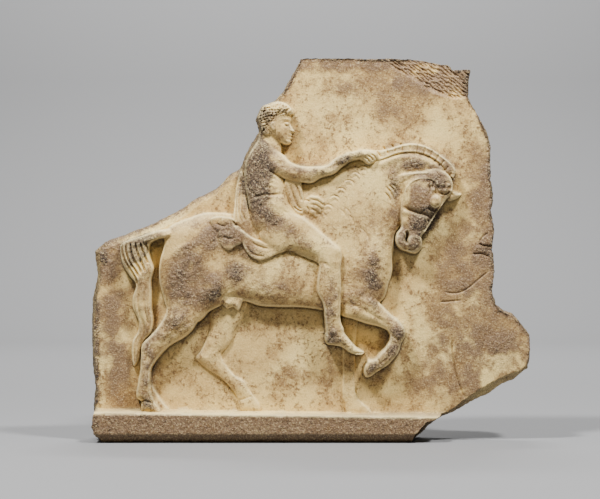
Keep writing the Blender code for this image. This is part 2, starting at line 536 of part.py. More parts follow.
def horse_head(r):
    def top(X, Y):
        return 22 - ramp(X, Y, (425, 215), (412, 240), 0, 1.5)

    def band_top(X, Y):
        return ramp(X, Y, (392, 186), (414, 176), 15, 22.5)

    r.swell(418, 163, 20, 5, 8, 1.5)
    r.swell(392, 172, 9, 12, 30, 1.0)
    r.form(FAR_EAR, 12, bulge=0.8, gutter=0.4)
    r.form(HORSE_HEAD, top, bulge=0.6, round_over=8, gutter=1.6)
    r.form(CHEEK_BAND, band_top, bulge=0.5, round_over=4, blend=1.5, gutter=0.5)
    # Cheek, flat with a bright upper rim and a deep fall below
    r.form(oval(419.5, 194.5, 15.5, 17, 25), 23.8, bulge=0.4, round_over=7, blend=2.5, gutter=0.2)
    r.cut([(405.5, 190), (411, 182.5), (420, 178.6), (430, 179), (438, 183)], 0.9, -1.3, fade=0.12)
    r.cut([(400, 184), (406, 181), (414, 176.2), (426, 175.2), (436, 177.5)], 1.2, 1.0, fade=0.2)
    r.swell(422, 197, 8, 9, 0, 1.8)
    r.cut([(402, 207), (410, 210), (418, 212.8), (426, 215), (432, 218)], 1.7, 3.2, fade=0.2)
    r.cut([(428, 184), (430, 190), (428, 196)], 1.1, 2.0, fade=0.25)
    # Brow and eye, and the hollow side of the nose
    r.form(oval(434.8, 200.6, 6.0, 4.8, -25), 27.2, bulge=1.0, round_over=4.5, blend=1.5, gutter=1.4)
    r.swell(436.5, 198.5, 2.2, 1.8, 0, 0.8)
    r.cut([(431, 201.5), (435, 202.8), (439, 201)], 0.8, 1.2, fade=0.2)
    r.cut([(428.5, 205), (434, 207.5), (440, 205)], 1.2, 2.6, fade=0.2)
    r.cut([(437, 210), (431, 219), (423, 230)], 3.2, 3.6, fade=0.3)
    r.cut([(444, 202), (436.8, 213.5), (429.8, 225.5), (423.3, 234.5)], 1.1, -3.0, fade=0.12)
    r.swell(417, 221, 7, 6, 50, 2.0)
    # Jaw bar with two small swellings
    r.swell(405, 212.5, 2.6, 3.2, 0, 1.8)
    r.swell(404.6, 221.5, 2.6, 3.6, 0, 1.8)
    r.cut([(409, 213), (409.5, 220), (411, 228)], 1.2, 1.3, fade=0.25)
    # Ear, laid back in rough hair
    r.form(EAR, 23.6, bulge=0.6, round_over=5, blend=2.0, gutter=0.6)
    for k in range(16):
        x, y = 431 + 1.45 * k, 183.5 + 3.0 * ((k * 5) % 4) + 0.12 * k
        r.swell(x, y, 1.2, 1.5, 40 * k, -2.0 if k % 2 else 1.5)
    r.cut([(440.5, 193.5), (446, 194.5), (450.5, 191)], 0.9, 2.2, fade=0.15)
    # Muzzle: lower lip, upper lip with the nostril, and the open mouth between
    r.form(oval(401.0, 241.5, 5.2, 7.2, -12), 22.5, bulge=1.0, round_over=5, blend=1.0, gutter=1.2)
    r.form(oval(413.3, 243.3, 8.8, 10, 35), 24.5, bulge=0.9, round_over=8, blend=1.0, gutter=1.2)
    r.cut([(406.8, 231.5), (407.4, 236), (406.2, 240.5), (407.6, 244)], 1.1, 4.5, fade=0.15)
    r.swell(403.5, 233, 2.4, 2.2, 0, 1.4)
    r.swell(412, 237, 2.6, 1.8, 20, 1.0)
    r.cut([(414.8, 239), (417.3, 240.6), (417.2, 243.5)], 0.9, 1.6, fade=0.15)
    r.cut([(402, 247.5), (408, 249.4), (414, 249.4), (419.5, 244.5)], 0.9, 1.8, fade=0.2)
    r.cut([(398, 236), (401, 233), (404.5, 236), (403, 241)], 0.9, 1.2, fade=0.2)


def cloak(r):
    def fall_top(X, Y):
        return ramp(X, Y, (240, 175), (245, 222), 13, 21)

    r.form(CLOAK_FALL, fall_top, bulge=0.6, round_over=5, gutter=0.6)
    for k, depth in enumerate((1.6, 1.8, 1.5)):
        x = 236.2 + 3.1 * k
        r.cut([(240 + 1.2 * k, 177), (x, 195), (x - 0.6, 211), (x + 2.2 * k, 223)], 0.95, depth, fade=0.1)
    for k, (flap, top) in enumerate(zip(FLAPS, (23.5, 24.5, 25.5))):
        r.form(flap, top, bulge=0.3, round_over=3.5, gutter=1.1)
    for fold in FLAP_FOLDS:
        r.cut(fold, 1.1, 1.6, fade=0.2)
    r.cut([(232, 220.5), (236.5, 225.5), (241.8, 231.5)], 1.0, 2.6, fade=0.2)


FLAP_FOLDS = [
    [(246, 243), (250, 251), (257, 255.5), (268, 256)],
    [(251, 240.8), (256, 245), (261, 247), (271, 249.8)],
    [(258, 238.5), (266, 242.5), (276, 244.5)],
    [(222, 236), (229, 238.5), (236, 238)],
    [(216, 223.5), (223, 226), (229, 225)],
]


CLOTH = [
    (284.5, 180), (292, 177), (300, 178), (302, 188), (304, 197), (304, 207), (302.5, 214.5),
    (298, 215), (293, 209), (288.5, 200),
]


def far_hand(r):
    r.form(CLOTH, 20.5, bulge=0.5, round_over=4, gutter=1.2)
    r.cut([(290, 184), (293.5, 196), (298, 206), (302, 209.5)], 1.1, 2.2, fade=0.12)
    r.cut([(295.5, 183), (299, 193), (302, 202)], 1.0, 2.0, fade=0.12)
    r.cut([(294, 206.5), (298, 210), (302.5, 211.5)], 0.8, 2.4, fade=0.15)
    r.form(oval(312.5, 206, 9.5, 10.5, 15), 21.5, bulge=0.6, round_over=6, gutter=1.1)
    # Four bent fingers, one above the other
    for k in range(4):
        x, y = 311 - 0.5 * k, 197.5 + 4.6 * k
        reach = (11.5, 11.5, 10, 6)[k]
        finger = [(x, y, 1.8, 22.5), (x + 0.5 * reach, y + 0.8, 2.1, 24.5), (x + reach, y + 4.6, 1.9, 22)]
        r.limb(finger, bulge=0.9, gutter=1.8)
    r.cut([(304.5, 200), (308, 200.6), (310.5, 202)], 0.8, 2.2, fade=0.15)
    r.cut([(306.5, 206), (309, 210.5), (308.5, 215.5)], 0.9, 1.8, fade=0.2)


def rider(r):
    def torso_top(X, Y):
        return ramp(X, Y, (262, 150), (272, 225), 22.5, 27.5)

    r.form(RIDER_NECK, 16.5, bulge=0.75, round_over=9, gutter=0.7)
    r.cut([(267, 134), (271, 141), (276, 149)], 1.6, -0.7, fade=0.3)
    r.form(TORSO, torso_top, bulge=0.75, round_over=15, gutter=1.2)
    # Shoulder blade, ribs, waist, belly and hip
    r.swell(254, 168, 6, 13, 12, 1.8)
    r.cut([(259, 158), (262.5, 170), (261, 183), (257, 192)], 2.0, 1.6, fade=0.3)
    r.cut([(246, 178), (249, 188), (255, 195), (262, 198)], 1.2, 1.3, fade=0.25)
    r.swell(272, 184, 8, 7, 0, 1.4)
    r.swell(276, 205, 9, 8, 10, 2.0)
    r.swell(262, 222, 9, 9, 0, 1.2)
    r.cut([(248.5, 198.5), (256, 197), (262, 195), (273, 195), (287, 194)], 1.3, 1.7, fade=0.2)
    for k in range(3):
        rib = [(265 + 2 * k, 177 + 5 * k), (272 + k, 178.5 + 5 * k), (280 + k, 183 + 4 * k)]
        r.cut(rib, 1.5, 0.8, fade=0.3)
    r.cut([(248, 205), (252, 214), (256, 222)], 1.6, 1.2, fade=0.3)
    r.cut([(280, 207), (287, 214), (297, 218.5)], 1.4, 1.5, fade=0.3)
    r.swell(316, 282, 9, 22, 0, -2.0)
    r.swell(346, 282, 7, 22, 0, -1.5)
    r.form(RIDER_LEG, leg_top, bulge=0.6, round_over=13, blend=1.5, gutter=1.8)
    r.soften(RIDER_LEG, 2.2, 3.5)
    r.form(SHIN, shin_top, bulge=0.5, round_over=9, blend=1.0, gutter=1.2)
    r.soften(SHIN, 1.6, 2.5)
    r.soften(BUTTOCK, 3.5, 3)
    r.swell(334, 250, 5, 6, 0, 1.6)
    r.swell(333, 262, 4, 4, 0, 0.8)
    r.cut([(300, 224), (314, 234), (326, 246)], 3.4, 0.8, fade=0.35)
    # The hollow under the buttock and the lower plane of the thigh
    r.cut([(281, 255), (287, 250.5), (294, 245)], 1.2, 2.2, fade=0.2)
    r.cut([(290, 249.5), (304, 254.5), (319, 261)], 3.8, 4.5, fade=0.2)
    r.cut([(320, 262), (326, 264), (331, 268)], 1.4, 1.2, fade=0.3)
    # Shin, calf, ankle, heel and toes
    r.cut([(337, 262), (337.5, 285), (337, 310), (338, 326)], 1.4, -0.9, fade=0.25)
    r.swell(324, 284, 5, 13, 0, 0.9)
    r.cut([(327, 294), (330, 306), (331, 322)], 2.0, 0.9, fade=0.3)
    r.swell(333.5, 331, 2.8, 2.8, 0, 1.5)
    r.cut([(327, 343), (331, 339), (333, 335)], 1.2, 1.2, fade=0.2)
    r.swell(345, 341, 5, 3, 40, 0.8)
    for k in range(4):
        r.cut([(354 + 2.1 * k, 353.4), (357.6 + 1.8 * k, 351.2 + 0.3 * k)], 0.5, 1.2, fade=0)


SHIN = [
    (322, 259), (334, 254), (341, 258), (340.3, 270), (341, 285), (340.4, 303), (340.5, 320),
    (344, 331.5), (338, 338), (328, 338), (326, 331), (324.8, 320), (323.3, 305), (318, 292),
    (317, 282), (319, 270),
]
BUTTOCK = [
    (252, 212), (262, 206), (280, 206), (296, 212), (312, 224), (322, 236), (320, 252), (300, 250),
    (284, 250), (268, 244), (256, 230),
]


def leg_top(X, Y):
    thigh = ramp(X, Y, (285, 230), (335, 255), 29, 31)
    return thigh - ramp(X, Y, (330, 262), (334, 290), 0, 1.5) - ramp(X, Y, (330, 300), (340, 350), 0, 3.0)


def shin_top(X, Y):
    return 30 - ramp(X, Y, (330, 300), (338, 345), 0, 4)


def rider_head(r):
    r.form(HEAD, 20.5, bulge=0.75, round_over=11, gutter=0.9)
    # Plain ear, eye, brow, cheek, nostril and mouth
    r.swell(286.6, 123.6, 3.0, 2.4, 10, -1.4)
    r.form(oval(286.9, 123.9, 2.1, 1.4, 8), 20.3, bulge=0.7, round_over=1.6)
    r.cut([(282.8, 120.4), (286.6, 119.2), (290.6, 120.6)], 0.9, -0.9, fade=0.2)
    r.cut([(284.6, 125.8), (287, 126.4), (289.4, 125.6)], 0.6, 0.5, fade=0.2)
    r.swell(282, 131, 5, 5, 0, 0.9)
    r.swell(291.6, 131.8, 0.8, 0.7, 0, -1.0)
    r.cut([(291.4, 128), (288.8, 131), (288.4, 133)], 0.9, 0.5, fade=0.3)
    r.cut([(287.6, 136.6), (291.6, 136.7)], 0.55, 1.1, fade=0.1)
    r.swell(288.8, 141.4, 2.2, 2.0, 0, 0.6)
    r.form(HAIR, 21.5, bulge=0.7, round_over=9, gutter=0.8)
    r.form(oval(273, 126.5, 2.6, 4.4, -10), 22.5, bulge=0.8, round_over=3, gutter=0.6)
    r.swell(273.3, 126.3, 1.1, 2.2, -10, -1.1)
    # Short curls in loose rows, with drilled gaps that are deepest at the back
    dice = np.random.default_rng(5)
    for row in range(11):
        for k in range(13):
            dx, dy, size, turn = dice.uniform(-1, 1, 4)
            x = 258.5 + 2.9 * k + 1.45 * (row % 2) + 0.8 * dx
            y = 103.6 + 2.8 * row + 0.018 * (x - 272) ** 2 + 0.7 * dy
            if x > 292 or y > 115 + 1.1 * max(0, 276 - x) or y > 134 or y < 103.5 + 0.02 * (x - 275) ** 2:
                continue
            r.swell(x, y, 1.5 + 0.4 * size, 1.1, 90 * turn, 1.7)
            r.swell(x + 1.5, y + 1.0, 0.8, 0.7 + 0.2 * size, 0, -1.8 - 0.09 * max(0, 275 - x))


HAIR = [
    (259.5, 129), (257.4, 120), (259, 111), (264.5, 105), (272, 101.8), (281, 101.6), (288, 104.6),
    (292.4, 109.6), (293, 114), (289.5, 115.2), (284, 115), (279.5, 117.5), (277, 121.5),
    (275.5, 124.5), (272, 121.5), (269.5, 124), (269.8, 130), (268.5, 135), (263.5, 134),
]


def near_arm(r):
    def top(X, Y):
        arm = ramp(X, Y, (258, 150), (284, 168), 21, 27.5) - ramp(X, Y, (318, 172), (370, 156), 0, 4)
        return arm

    r.form(NEAR_ARM, top, bulge=0.95, round_over=10, blend=3, gutter=2.0)
    # Shoulder, armpit, elbow and the muscles of the forearm
    r.swell(266, 154, 8, 7, 25, 1.0)
    r.cut([(269, 170.5), (275, 174), (284, 179)], 1.1, 3.0, fade=0.2)
    r.cut([(274, 160), (284, 167), (296, 172)], 2.2, 0.7, fade=0.3)
    r.cut([(300, 170), (303, 175), (302, 181)], 2.0, 0.6, fade=0.3)
    r.cut([(316, 174), (330, 169), (343, 160)], 2.0, 0.8, fade=0.3)
    r.cut([(334, 158.5), (336, 163), (336, 168)], 1.4, 0.6, fade=0.3)
    # Bent fingers on the neck
    r.swell(365, 153, 4, 3, 0, 0.8)
    for k in range(3):
        x, y = 364.5 + 3.2 * k, 157.5 - 1.6 * k
        r.cut([(x, y), (x + 3.2, y + 1.8), (x + 5.4, y + 5)], 0.75, 2.4, fade=0.1)


def ledge(r):
    """The ground line: a shelf along the foot, with a worn lower arris."""
    deep = LEDGE_DEPTH / RISE_UNIT
    back = LEDGE_TOP - 1.5 + (r.X - LEDGE_LEFT) * LEDGE_TILT
    front = deep * np.clip((r.Y - back) / 2.2, 0, 1)
    worn = np.clip((r.Y - WORN_FROM) / (BASE - WORN_FROM), 0, 1)
    front = front - 0.4 * deep * worn**1.3
    r.h = np.where(r.Y < back, r.h, np.maximum(r.h * (r.Y < back + 12), front))


def carved_block():
    """A block with the carved face in front, larger all round than the slab."""
    margin = 6
    step = CARVING_GRID / UNIT
    relief = Relief(LEFT - margin, RIGHT + margin, TOP - margin, BASE + margin, step)
    carve(relief)
    rows, cols = relief.h.shape
    bm = bmesh.new()
    bmesh.ops.create_grid(bm, x_segments=cols - 1, y_segments=rows - 1, size=1.0)
    mesh = bpy.data.meshes.new("carved_face")
    bm.to_mesh(mesh)
    bm.free()
    flat = np.empty(len(mesh.vertices) * 3, np.float32)
    mesh.vertices.foreach_get("co", flat)
    flat = flat.reshape(-1, 3)
    col = np.rint((flat[:, 0] + 1) / 2 * (cols - 1)).astype(int)
    row = np.rint((1 - flat[:, 1]) / 2 * (rows - 1)).astype(int)
    height = relief.h[row, col] * RISE_UNIT
    points = np.column_stack([to_x(relief.x[col]), BACKGROUND_Y - height, to_z(relief.y[row])])
    mesh.vertices.foreach_set("co", points.astype(np.float32).ravel())
    mesh.update()
    face = bpy.data.objects.new("carved_face", mesh)
    bpy.context.scene.collection.objects.link(face)
    thin = face.modifiers.new("fewer_faces", "DECIMATE")
    thin.ratio = FACE_TRIANGLES / (2.0 * len(mesh.polygons))
    graph = bpy.context.evaluated_depsgraph_get()
    thinned = bpy.data.meshes.new_from_object(face.evaluated_get(graph))
    bpy.data.objects.remove(face)
    bm = bmesh.new()
    bm.from_mesh(thinned)
    rim = [edge for edge in bm.edges if edge.is_boundary]
    sides = bmesh.ops.extrude_edge_only(bm, edges=rim)["geom"]
    behind = BACK_Y + SLAB_THICKNESS / 4
    for vert in sides:
        if isinstance(vert, bmesh.types.BMVert):
            vert.co.y = behind
    bmesh.ops.holes_fill(bm, edges=[edge for edge in bm.edges if edge.is_boundary])
    bmesh.ops.recalc_face_normals(bm, faces=bm.faces)
    block = bpy.data.meshes.new("carved_block")
    bm.to_mesh(block)
    bm.free()
    return block


def inset_edge(share):
    """The slab's edge drawn in by a share of each point's inset."""
    edge = np.array(EDGE)
    ahead = np.roll(edge, -1, 0) - edge
    behind = edge - np.roll(edge, 1, 0)
    ahead /= np.linalg.norm(ahead, axis=1, keepdims=True)
    behind /= np.linalg.norm(behind, axis=1, keepdims=True)
    along = ahead + behind
    along /= np.linalg.norm(along, axis=1, keepdims=True)
    inward = np.column_stack([-along[:, 1], along[:, 0]])
    inset = np.array([i for _, _, i in SLAB_EDGE])[:, None] * share
    moved = edge + inward * inset
    moved[:, 1] = np.where(edge[:, 1] >= BASE - 1e-6, BASE, moved[:, 1])
    return moved


def broken_slab():
    """The slab's broken outline as a solid, its front edge drawn in where the break slopes."""
    front = BACKGROUND_Y - 1.5 * max(FIGURE_RISE, LEDGE_DEPTH)
    rings = [(front, 1.0), (BACKGROUND_Y, 1.0), (BACKGROUND_Y + EDGE_SLOPE_DEPTH, 0.0), (BACK_Y, 0.0)]
    bm = bmesh.new()
    loops = []
    for y, share in rings:
        loops.append([bm.verts.new((to_x(px), y, to_z(pz))) for px, pz in inset_edge(share)])
    bm.faces.new(loops[0])
    bm.faces.new(loops[-1][::-1])
    for near, far in zip(loops, loops[1:]):
        for k in range(len(near)):
            bm.faces.new((near[k], near[k - 1], far[k - 1], far[k]))
    bmesh.ops.recalc_face_normals(bm, faces=bm.faces)
    slab = bpy.data.meshes.new("broken_slab")
    bm.to_mesh(slab)
    bm.free()
    return slab


def weathered_marble():
    material = bpy.data.materials.new("weathered_marble")
    material.use_nodes = True
    shader = material.node_tree.nodes["Principled BSDF"]
    shader.inputs["Base Color"].default_value = (0.62, 0.53, 0.38, 1.0)
    shader.inputs["Roughness"].default_value = 0.6
    shader.inputs["Metallic"].default_value = 0.0
    return material


def main():
    for obj in list(bpy.data.objects):
        bpy.data.objects.remove(obj)
    works = bpy.data.collections.new("votive_relief")
    cutters = bpy.data.collections.new("cutters")
    bpy.context.scene.collection.children.link(works)
    bpy.context.scene.collection.children.link(cutters)
    relief = bpy.data.objects.new("votive_relief", carved_block())
    works.objects.link(relief)
    slab = bpy.data.objects.new("slab_outline", broken_slab())
    cutters.objects.link(slab)
    slab.hide_render = True
    slab.display_type = "WIRE"
    trim = relief.modifiers.new("broken_edges", "BOOLEAN")
    trim.operation = "INTERSECT"
    trim.solver = "EXACT"
    trim.object = slab
    relief.data.materials.append(weathered_marble())
    relief.data.shade_smooth()
    relief.data.set_sharp_from_angle(angle=math.radians(40))


main()
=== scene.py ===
import math

import bmesh
import bpy
import numpy as np
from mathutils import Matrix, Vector, noise


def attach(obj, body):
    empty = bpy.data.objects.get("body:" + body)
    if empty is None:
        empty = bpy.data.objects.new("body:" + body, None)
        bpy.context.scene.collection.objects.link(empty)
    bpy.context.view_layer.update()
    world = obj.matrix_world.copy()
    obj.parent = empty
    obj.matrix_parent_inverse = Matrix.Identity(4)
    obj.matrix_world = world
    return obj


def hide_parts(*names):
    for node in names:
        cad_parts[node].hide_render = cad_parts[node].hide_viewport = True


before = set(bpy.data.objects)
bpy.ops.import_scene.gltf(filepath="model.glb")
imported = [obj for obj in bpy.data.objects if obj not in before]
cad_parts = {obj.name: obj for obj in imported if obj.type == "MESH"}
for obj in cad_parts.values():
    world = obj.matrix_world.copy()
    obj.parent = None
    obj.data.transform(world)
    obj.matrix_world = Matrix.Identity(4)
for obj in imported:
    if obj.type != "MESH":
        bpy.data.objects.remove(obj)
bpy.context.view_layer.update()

# Sizes in metres, as the solid has them
SLAB_WIDTH = 0.522
SLAB_HEIGHT = 0.455
SLAB_THICKNESS = 0.055
FIGURE_RISE = 0.030
LEDGE_DEPTH = 0.028
LEDGE_HEIGHT = 0.037
EDGE_SLOPE_DEPTH = 0.016
CARVING_GRID = 0.0008
TRIANGLES = 192000
MARGIN = 6  # units of ground carved beyond the slab's edge
BACK_OVERLAP = 0.02  # how far the carved block reaches past the back before it is cut
FRONT_OVERLAP = 0.05  # how far the block with the tooled back reaches past the background
TOOLING_DEPTH = 0.0011
BREAK_WIDTH = 0.0025  # how soon the carved skin turns into broken stone
SHARP_ANGLE = math.radians(60)
PER_SPAN = 6  # steps of a smooth curve between two of its points
OVAL_POINTS = 12

# The drawing: x to the right and y down, in units. The slab's edges lie behind the figures, so they are
# spread a little about the middle of the view.
VIEW_MIDDLE = (300.0, 249.5)
EDGE_SPREAD = 1.008
LEDGE_TOP = 411.0
LEDGE_LEFT = 96.0
LEDGE_TILT = 0.0145
WORN_FROM = 433.0
FIGURE_TOP = 31.5  # the highest form, in units of rise

# The slab's edge, clockwise from its top left, as (x, y, inset of the front edge)
SLAB_EDGE = [
    (301, 60, 1), (325, 58.5, 1), (370, 59.5, 1), (420, 61, 1), (448, 65, 1), (453, 71, 1),
    (471, 70, 0.5), (468, 80, 1), (468, 97, 1), (476, 112, 1.5), (485, 130, 1.5), (491, 147, 1.5),
    (489, 168, 1), (493, 200, 1.5), (490, 211, 1), (495, 231, 1.5), (491, 250, 1), (494.5, 271, 1.5),
    (492, 291, 1), (496, 305, 1), (504, 312, 1.5), (513, 315, 1.5), (525, 328, 1.5), (530, 335, 2),
    (530.6, 352, 2), (527, 368, 2.5), (516, 377, 6.5), (504, 382.6, 8), (487, 393, 9), (470, 401.5, 7),
    (455, 411, 5), (439.5, 418, 4), (428, 424, 6), (417, 436.5, 7), (409, 441, 1), (300, 441, 0.5),
    (180, 441, 0.5), (105, 441, 1), (97, 435, 2), (92.5, 425, 2), (94.5, 413, 2), (95, 390, 3),
    (93, 355, 3), (91, 319, 5), (93, 297, 4), (98, 276, 5), (95, 258, 7), (95, 251, 6),
    (105, 243.5, 7), (130, 234, 6), (155, 223.5, 8), (180, 211, 9), (200, 197.3, 7), (216, 189, 5),
    (232, 174.5, 5), (240, 170, 3), (250, 149, 3), (260, 131, 2.5), (257, 118, 2), (262, 107, 2),
    (276, 101, 2), (285, 91, 2), (296, 70, 1.5),
]


def spread(x, y):
    """A point of the slab's edge, moved out from the middle of the view."""
    return tuple(m + (v - m) * EDGE_SPREAD for v, m in zip((x, y), VIEW_MIDDLE))


EDGE = [spread(x, y) for x, y, _ in SLAB_EDGE]
LEFT, TOP = np.min(EDGE, axis=0)
RIGHT, BASE = np.max(EDGE, axis=0)
UNIT = SLAB_WIDTH / (RIGHT - LEFT)
UPRIGHT_UNIT = (SLAB_HEIGHT - LEDGE_HEIGHT) / (LEDGE_TOP - TOP)
RISE_UNIT = FIGURE_RISE / FIGURE_TOP
BACKGROUND_Y = (FIGURE_RISE - SLAB_THICKNESS) / 2
BACK_Y = BACKGROUND_Y + SLAB_THICKNESS


def to_x(x):
    return (x - (LEFT + RIGHT) / 2) * UNIT


def to_z(y):
    above = LEDGE_HEIGHT + (LEDGE_TOP - y) * UPRIGHT_UNIT
    below = LEDGE_HEIGHT * (BASE - y) / (BASE - LEDGE_TOP)
    return np.where(y < LEDGE_TOP, above, below)


def from_z(z):
    """The height in the drawing of a height above the foot."""
    above = LEDGE_TOP - (z - LEDGE_HEIGHT) / UPRIGHT_UNIT
    below = BASE - z * (BASE - LEDGE_TOP) / LEDGE_HEIGHT
    return np.where(z > LEDGE_HEIGHT, above, below)


def curve_through(points, closed):
    """Points along a smooth curve that passes through the given ones."""
    p = np.array(points, float)
    if closed:
        p = np.vstack([p[-1:], p, p[:2]])
    else:
        p = np.vstack([2 * p[0] - p[1], p, 2 * p[-1] - p[-2]])
    gaps = np.sqrt(np.maximum(np.linalg.norm(np.diff(p[:, :2], axis=0), axis=1), 1e-6))
    rows = []
    for i in range(1, len(p) - 2):
        before, here, after = gaps[i - 1 : i + 2]
        ahead = (p[i + 1] - p[i]) / here
        leaving = (p[i] - p[i - 1]) / before - (p[i + 1] - p[i - 1]) / (before + here) + ahead
        arriving = ahead - (p[i + 2] - p[i]) / (here + after) + (p[i + 2] - p[i + 1]) / after
        for t in np.arange(PER_SPAN) / PER_SPAN:
            stay = 2 * t**3 - 3 * t**2 + 1
            bend = (t**3 - 2 * t**2 + t) * here * leaving + (t**3 - t**2) * here * arriving
            rows.append(stay * p[i] + (1 - stay) * p[i + 1] + bend)
    if not closed:
        rows.append(p[-2])
    return np.array(rows)


def blurred(field, cells):
    """The field smoothed three times over a square that reaches this many cells."""
    n = max(1, round(cells))
    for axis in (0, 1, 0, 1, 0, 1):
        pad = [(n + 1, n) if a == axis else (0, 0) for a in (0, 1)]
        total = np.cumsum(np.pad(field, pad, mode="edge"), axis=axis)
        size = field.shape[axis]
        high = np.take(total, np.arange(size) + 2 * n + 1, axis=axis)
        low = np.take(total, np.arange(size), axis=axis)
        field = (high - low) / (2 * n + 1)
    return field


def widest(field, cells):
    """The largest value within this many cells each way."""
    done = 0
    while done < cells:
        step = min(max(1, done), cells - done)
        for axis in (0, 1):
            beside = np.maximum(np.roll(field, step, axis), np.roll(field, -step, axis))
            field = np.maximum(field, beside)
        done += step
    return field


def hill(X, Y, x, y, rx, ry, turn, height):
    """A soft oval hill, turned clockwise by some degrees."""
    a = math.radians(turn)
    u = (X - x) * math.cos(a) + (Y - y) * math.sin(a)
    v = (Y - y) * math.cos(a) - (X - x) * math.sin(a)
    return height * np.exp(-((u / rx) ** 2 + (v / ry) ** 2))


def ramp(X, Y, start, end, low, high):
    """A value that eases from low at start to high at end."""
    dx, dy = end[0] - start[0], end[1] - start[1]
    t = np.clip(((X - start[0]) * dx + (Y - start[1]) * dy) / (dx * dx + dy * dy), 0, 1)
    return low + (high - low) * t * t * (3 - 2 * t)


def oval(x, y, rx, ry, turn):
    """Points round an oval, turned clockwise by some degrees."""
    a = math.radians(turn)
    points = []
    for k in range(OVAL_POINTS):
        u = rx * math.cos(2 * math.pi * k / OVAL_POINTS)
        v = ry * math.sin(2 * math.pi * k / OVAL_POINTS)
        points.append((x + u * math.cos(a) - v * math.sin(a), y + u * math.sin(a) + v * math.cos(a)))
    return points


class Relief:
    """The carved face: heights above the background, in units, on a grid over the drawing."""

    def __init__(self, left, right, top, bottom, step):
        self.step = step
        self.x = np.arange(left, right + step, step)
        self.y = np.arange(top, bottom + step, step)
        self.X, self.Y = np.meshgrid(self.x, self.y)
        self.h = np.zeros(self.X.shape)

    def window(self, points, margin):
        """The rows and columns of the grid around these points."""
        p = np.array([q[:2] for q in points], float)
        low = p.min(axis=0) - margin
        high = p.max(axis=0) + margin
        cols = np.searchsorted(self.x, [low[0], high[0]])
        rows = np.searchsorted(self.y, [low[1], high[1]])
        return slice(*rows), slice(*cols)

    def from_path(self, path, margin, closed=False):
        """The window round a smooth path, with the distance to it and the place along it there."""
        curve = curve_through([q[:2] for q in path], closed)
        at = self.window(curve, margin)
        X, Y = self.X[at], self.Y[at]
        nearest = np.full(X.shape, np.inf)
        along = np.zeros(X.shape)
        inside = np.zeros(X.shape, bool)
        ends = np.roll(curve, -1, 0) if closed else curve[1:]
        for k, ((x0, y0), (x1, y1)) in enumerate(zip(curve, ends)):
            dx, dy = x1 - x0, y1 - y0
            t = np.clip(((X - x0) * dx + (Y - y0) * dy) / (dx * dx + dy * dy + 1e-12), 0, 1)
            distance = np.hypot(X - x0 - t * dx, Y - y0 - t * dy)
            closer = distance < nearest
            nearest = np.where(closer, distance, nearest)
            along = np.where(closer, (k + t) / PER_SPAN, along)
            if closed and dy != 0:
                inside ^= ((Y >= y0) != (Y >= y1)) & (X < x0 + (Y - y0) * dx / dy)
        if closed:
            nearest = np.where(inside, nearest, -nearest)
        return at, nearest, along

    def lay(self, at, inward, height, blend, gutter):
        """Lays a form over what is there, with a cut round it where it stands proud."""
        under = self.h[at]
        proud = np.clip((height - under) / 4, 0, 1)
        shaded = np.clip(0.25 - 0.25 * np.gradient(inward, self.step, axis=0), 0.05, 0.5)
        under = under - gutter * shaded * proud * np.exp(-((np.minimum(inward, 0) / 1.6) ** 2))
        joined = np.maximum(under, height)
        if blend:
            joined += np.maximum(blend - np.abs(under - height), 0) ** 2 / (4 * blend)
        cover = np.clip(inward / (1.1 * self.step) + 0.5, 0, 1)
        self.h[at] = under + (joined - under) * cover

    def form(self, outline, top, bulge=0.75, round_over=14.0, blend=0.0, gutter=0.0):
        """A rounded form inside a smooth outline, falling away over round_over or its half width."""
        at, inward, _ = self.from_path(outline, 8, closed=True)
        half = blurred(widest(np.maximum(inward, 0.3), int(round_over / self.step) + 1), 3 / self.step)
        half = np.clip(half, 0.6, round_over)
        t = np.clip(inward / half, 0, 1)
        height = top(self.X[at], self.Y[at]) if callable(top) else top
        height = height - bulge * half * (1 - np.sqrt(t * (2 - t)))
        self.lay(at, inward, height, blend, gutter)

    def limb(self, stations, bulge, gutter):
        """A rounded limb along stations of (x, y, half width, height)."""
        at, distance, along = self.from_path(stations, 10)
        places = np.arange(len(stations))
        half = np.interp(along, places, [s[2] for s in stations])
        top = np.interp(along, places, [s[3] for s in stations])
        q = np.clip(distance / half, 0, 1)
        self.lay(at, half - distance, top - bulge * half * (1 - np.sqrt(1 - q * q)), 0.0, gutter)

    def swell(self, x, y, rx, ry, turn, height):
        """Raises a soft oval, or sinks one when height is negative."""
        at = self.window([(x, y)], 2.6 * max(rx, ry))
        self.h[at] += hill(self.X[at], self.Y[at], x, y, rx, ry, turn, height)

    def cut(self, path, width, depth, fade=0.15):
        """Cuts a groove along a path, or raises a ridge when depth is negative."""
        at, distance, along = self.from_path(path, 3.5 * width)
        share = along / (len(path) - 1)
        ends = np.clip(np.minimum(share, 1 - share) / max(fade, 1e-3), 0, 1)
        self.h[at] -= depth * np.exp(-((distance / width) ** 2)) * ends

    def soften(self, outline, reach, inner):
        """Smooths the carving inside an outline, from inner units off its edge."""
        at, inward, _ = self.from_path(outline, 8, closed=True)
        smooth = blurred(self.h[at], reach / self.step / 1.7)
        share = np.clip((inward - inner) / 4, 0, 1)
        self.h[at] += (smooth - self.h[at]) * share


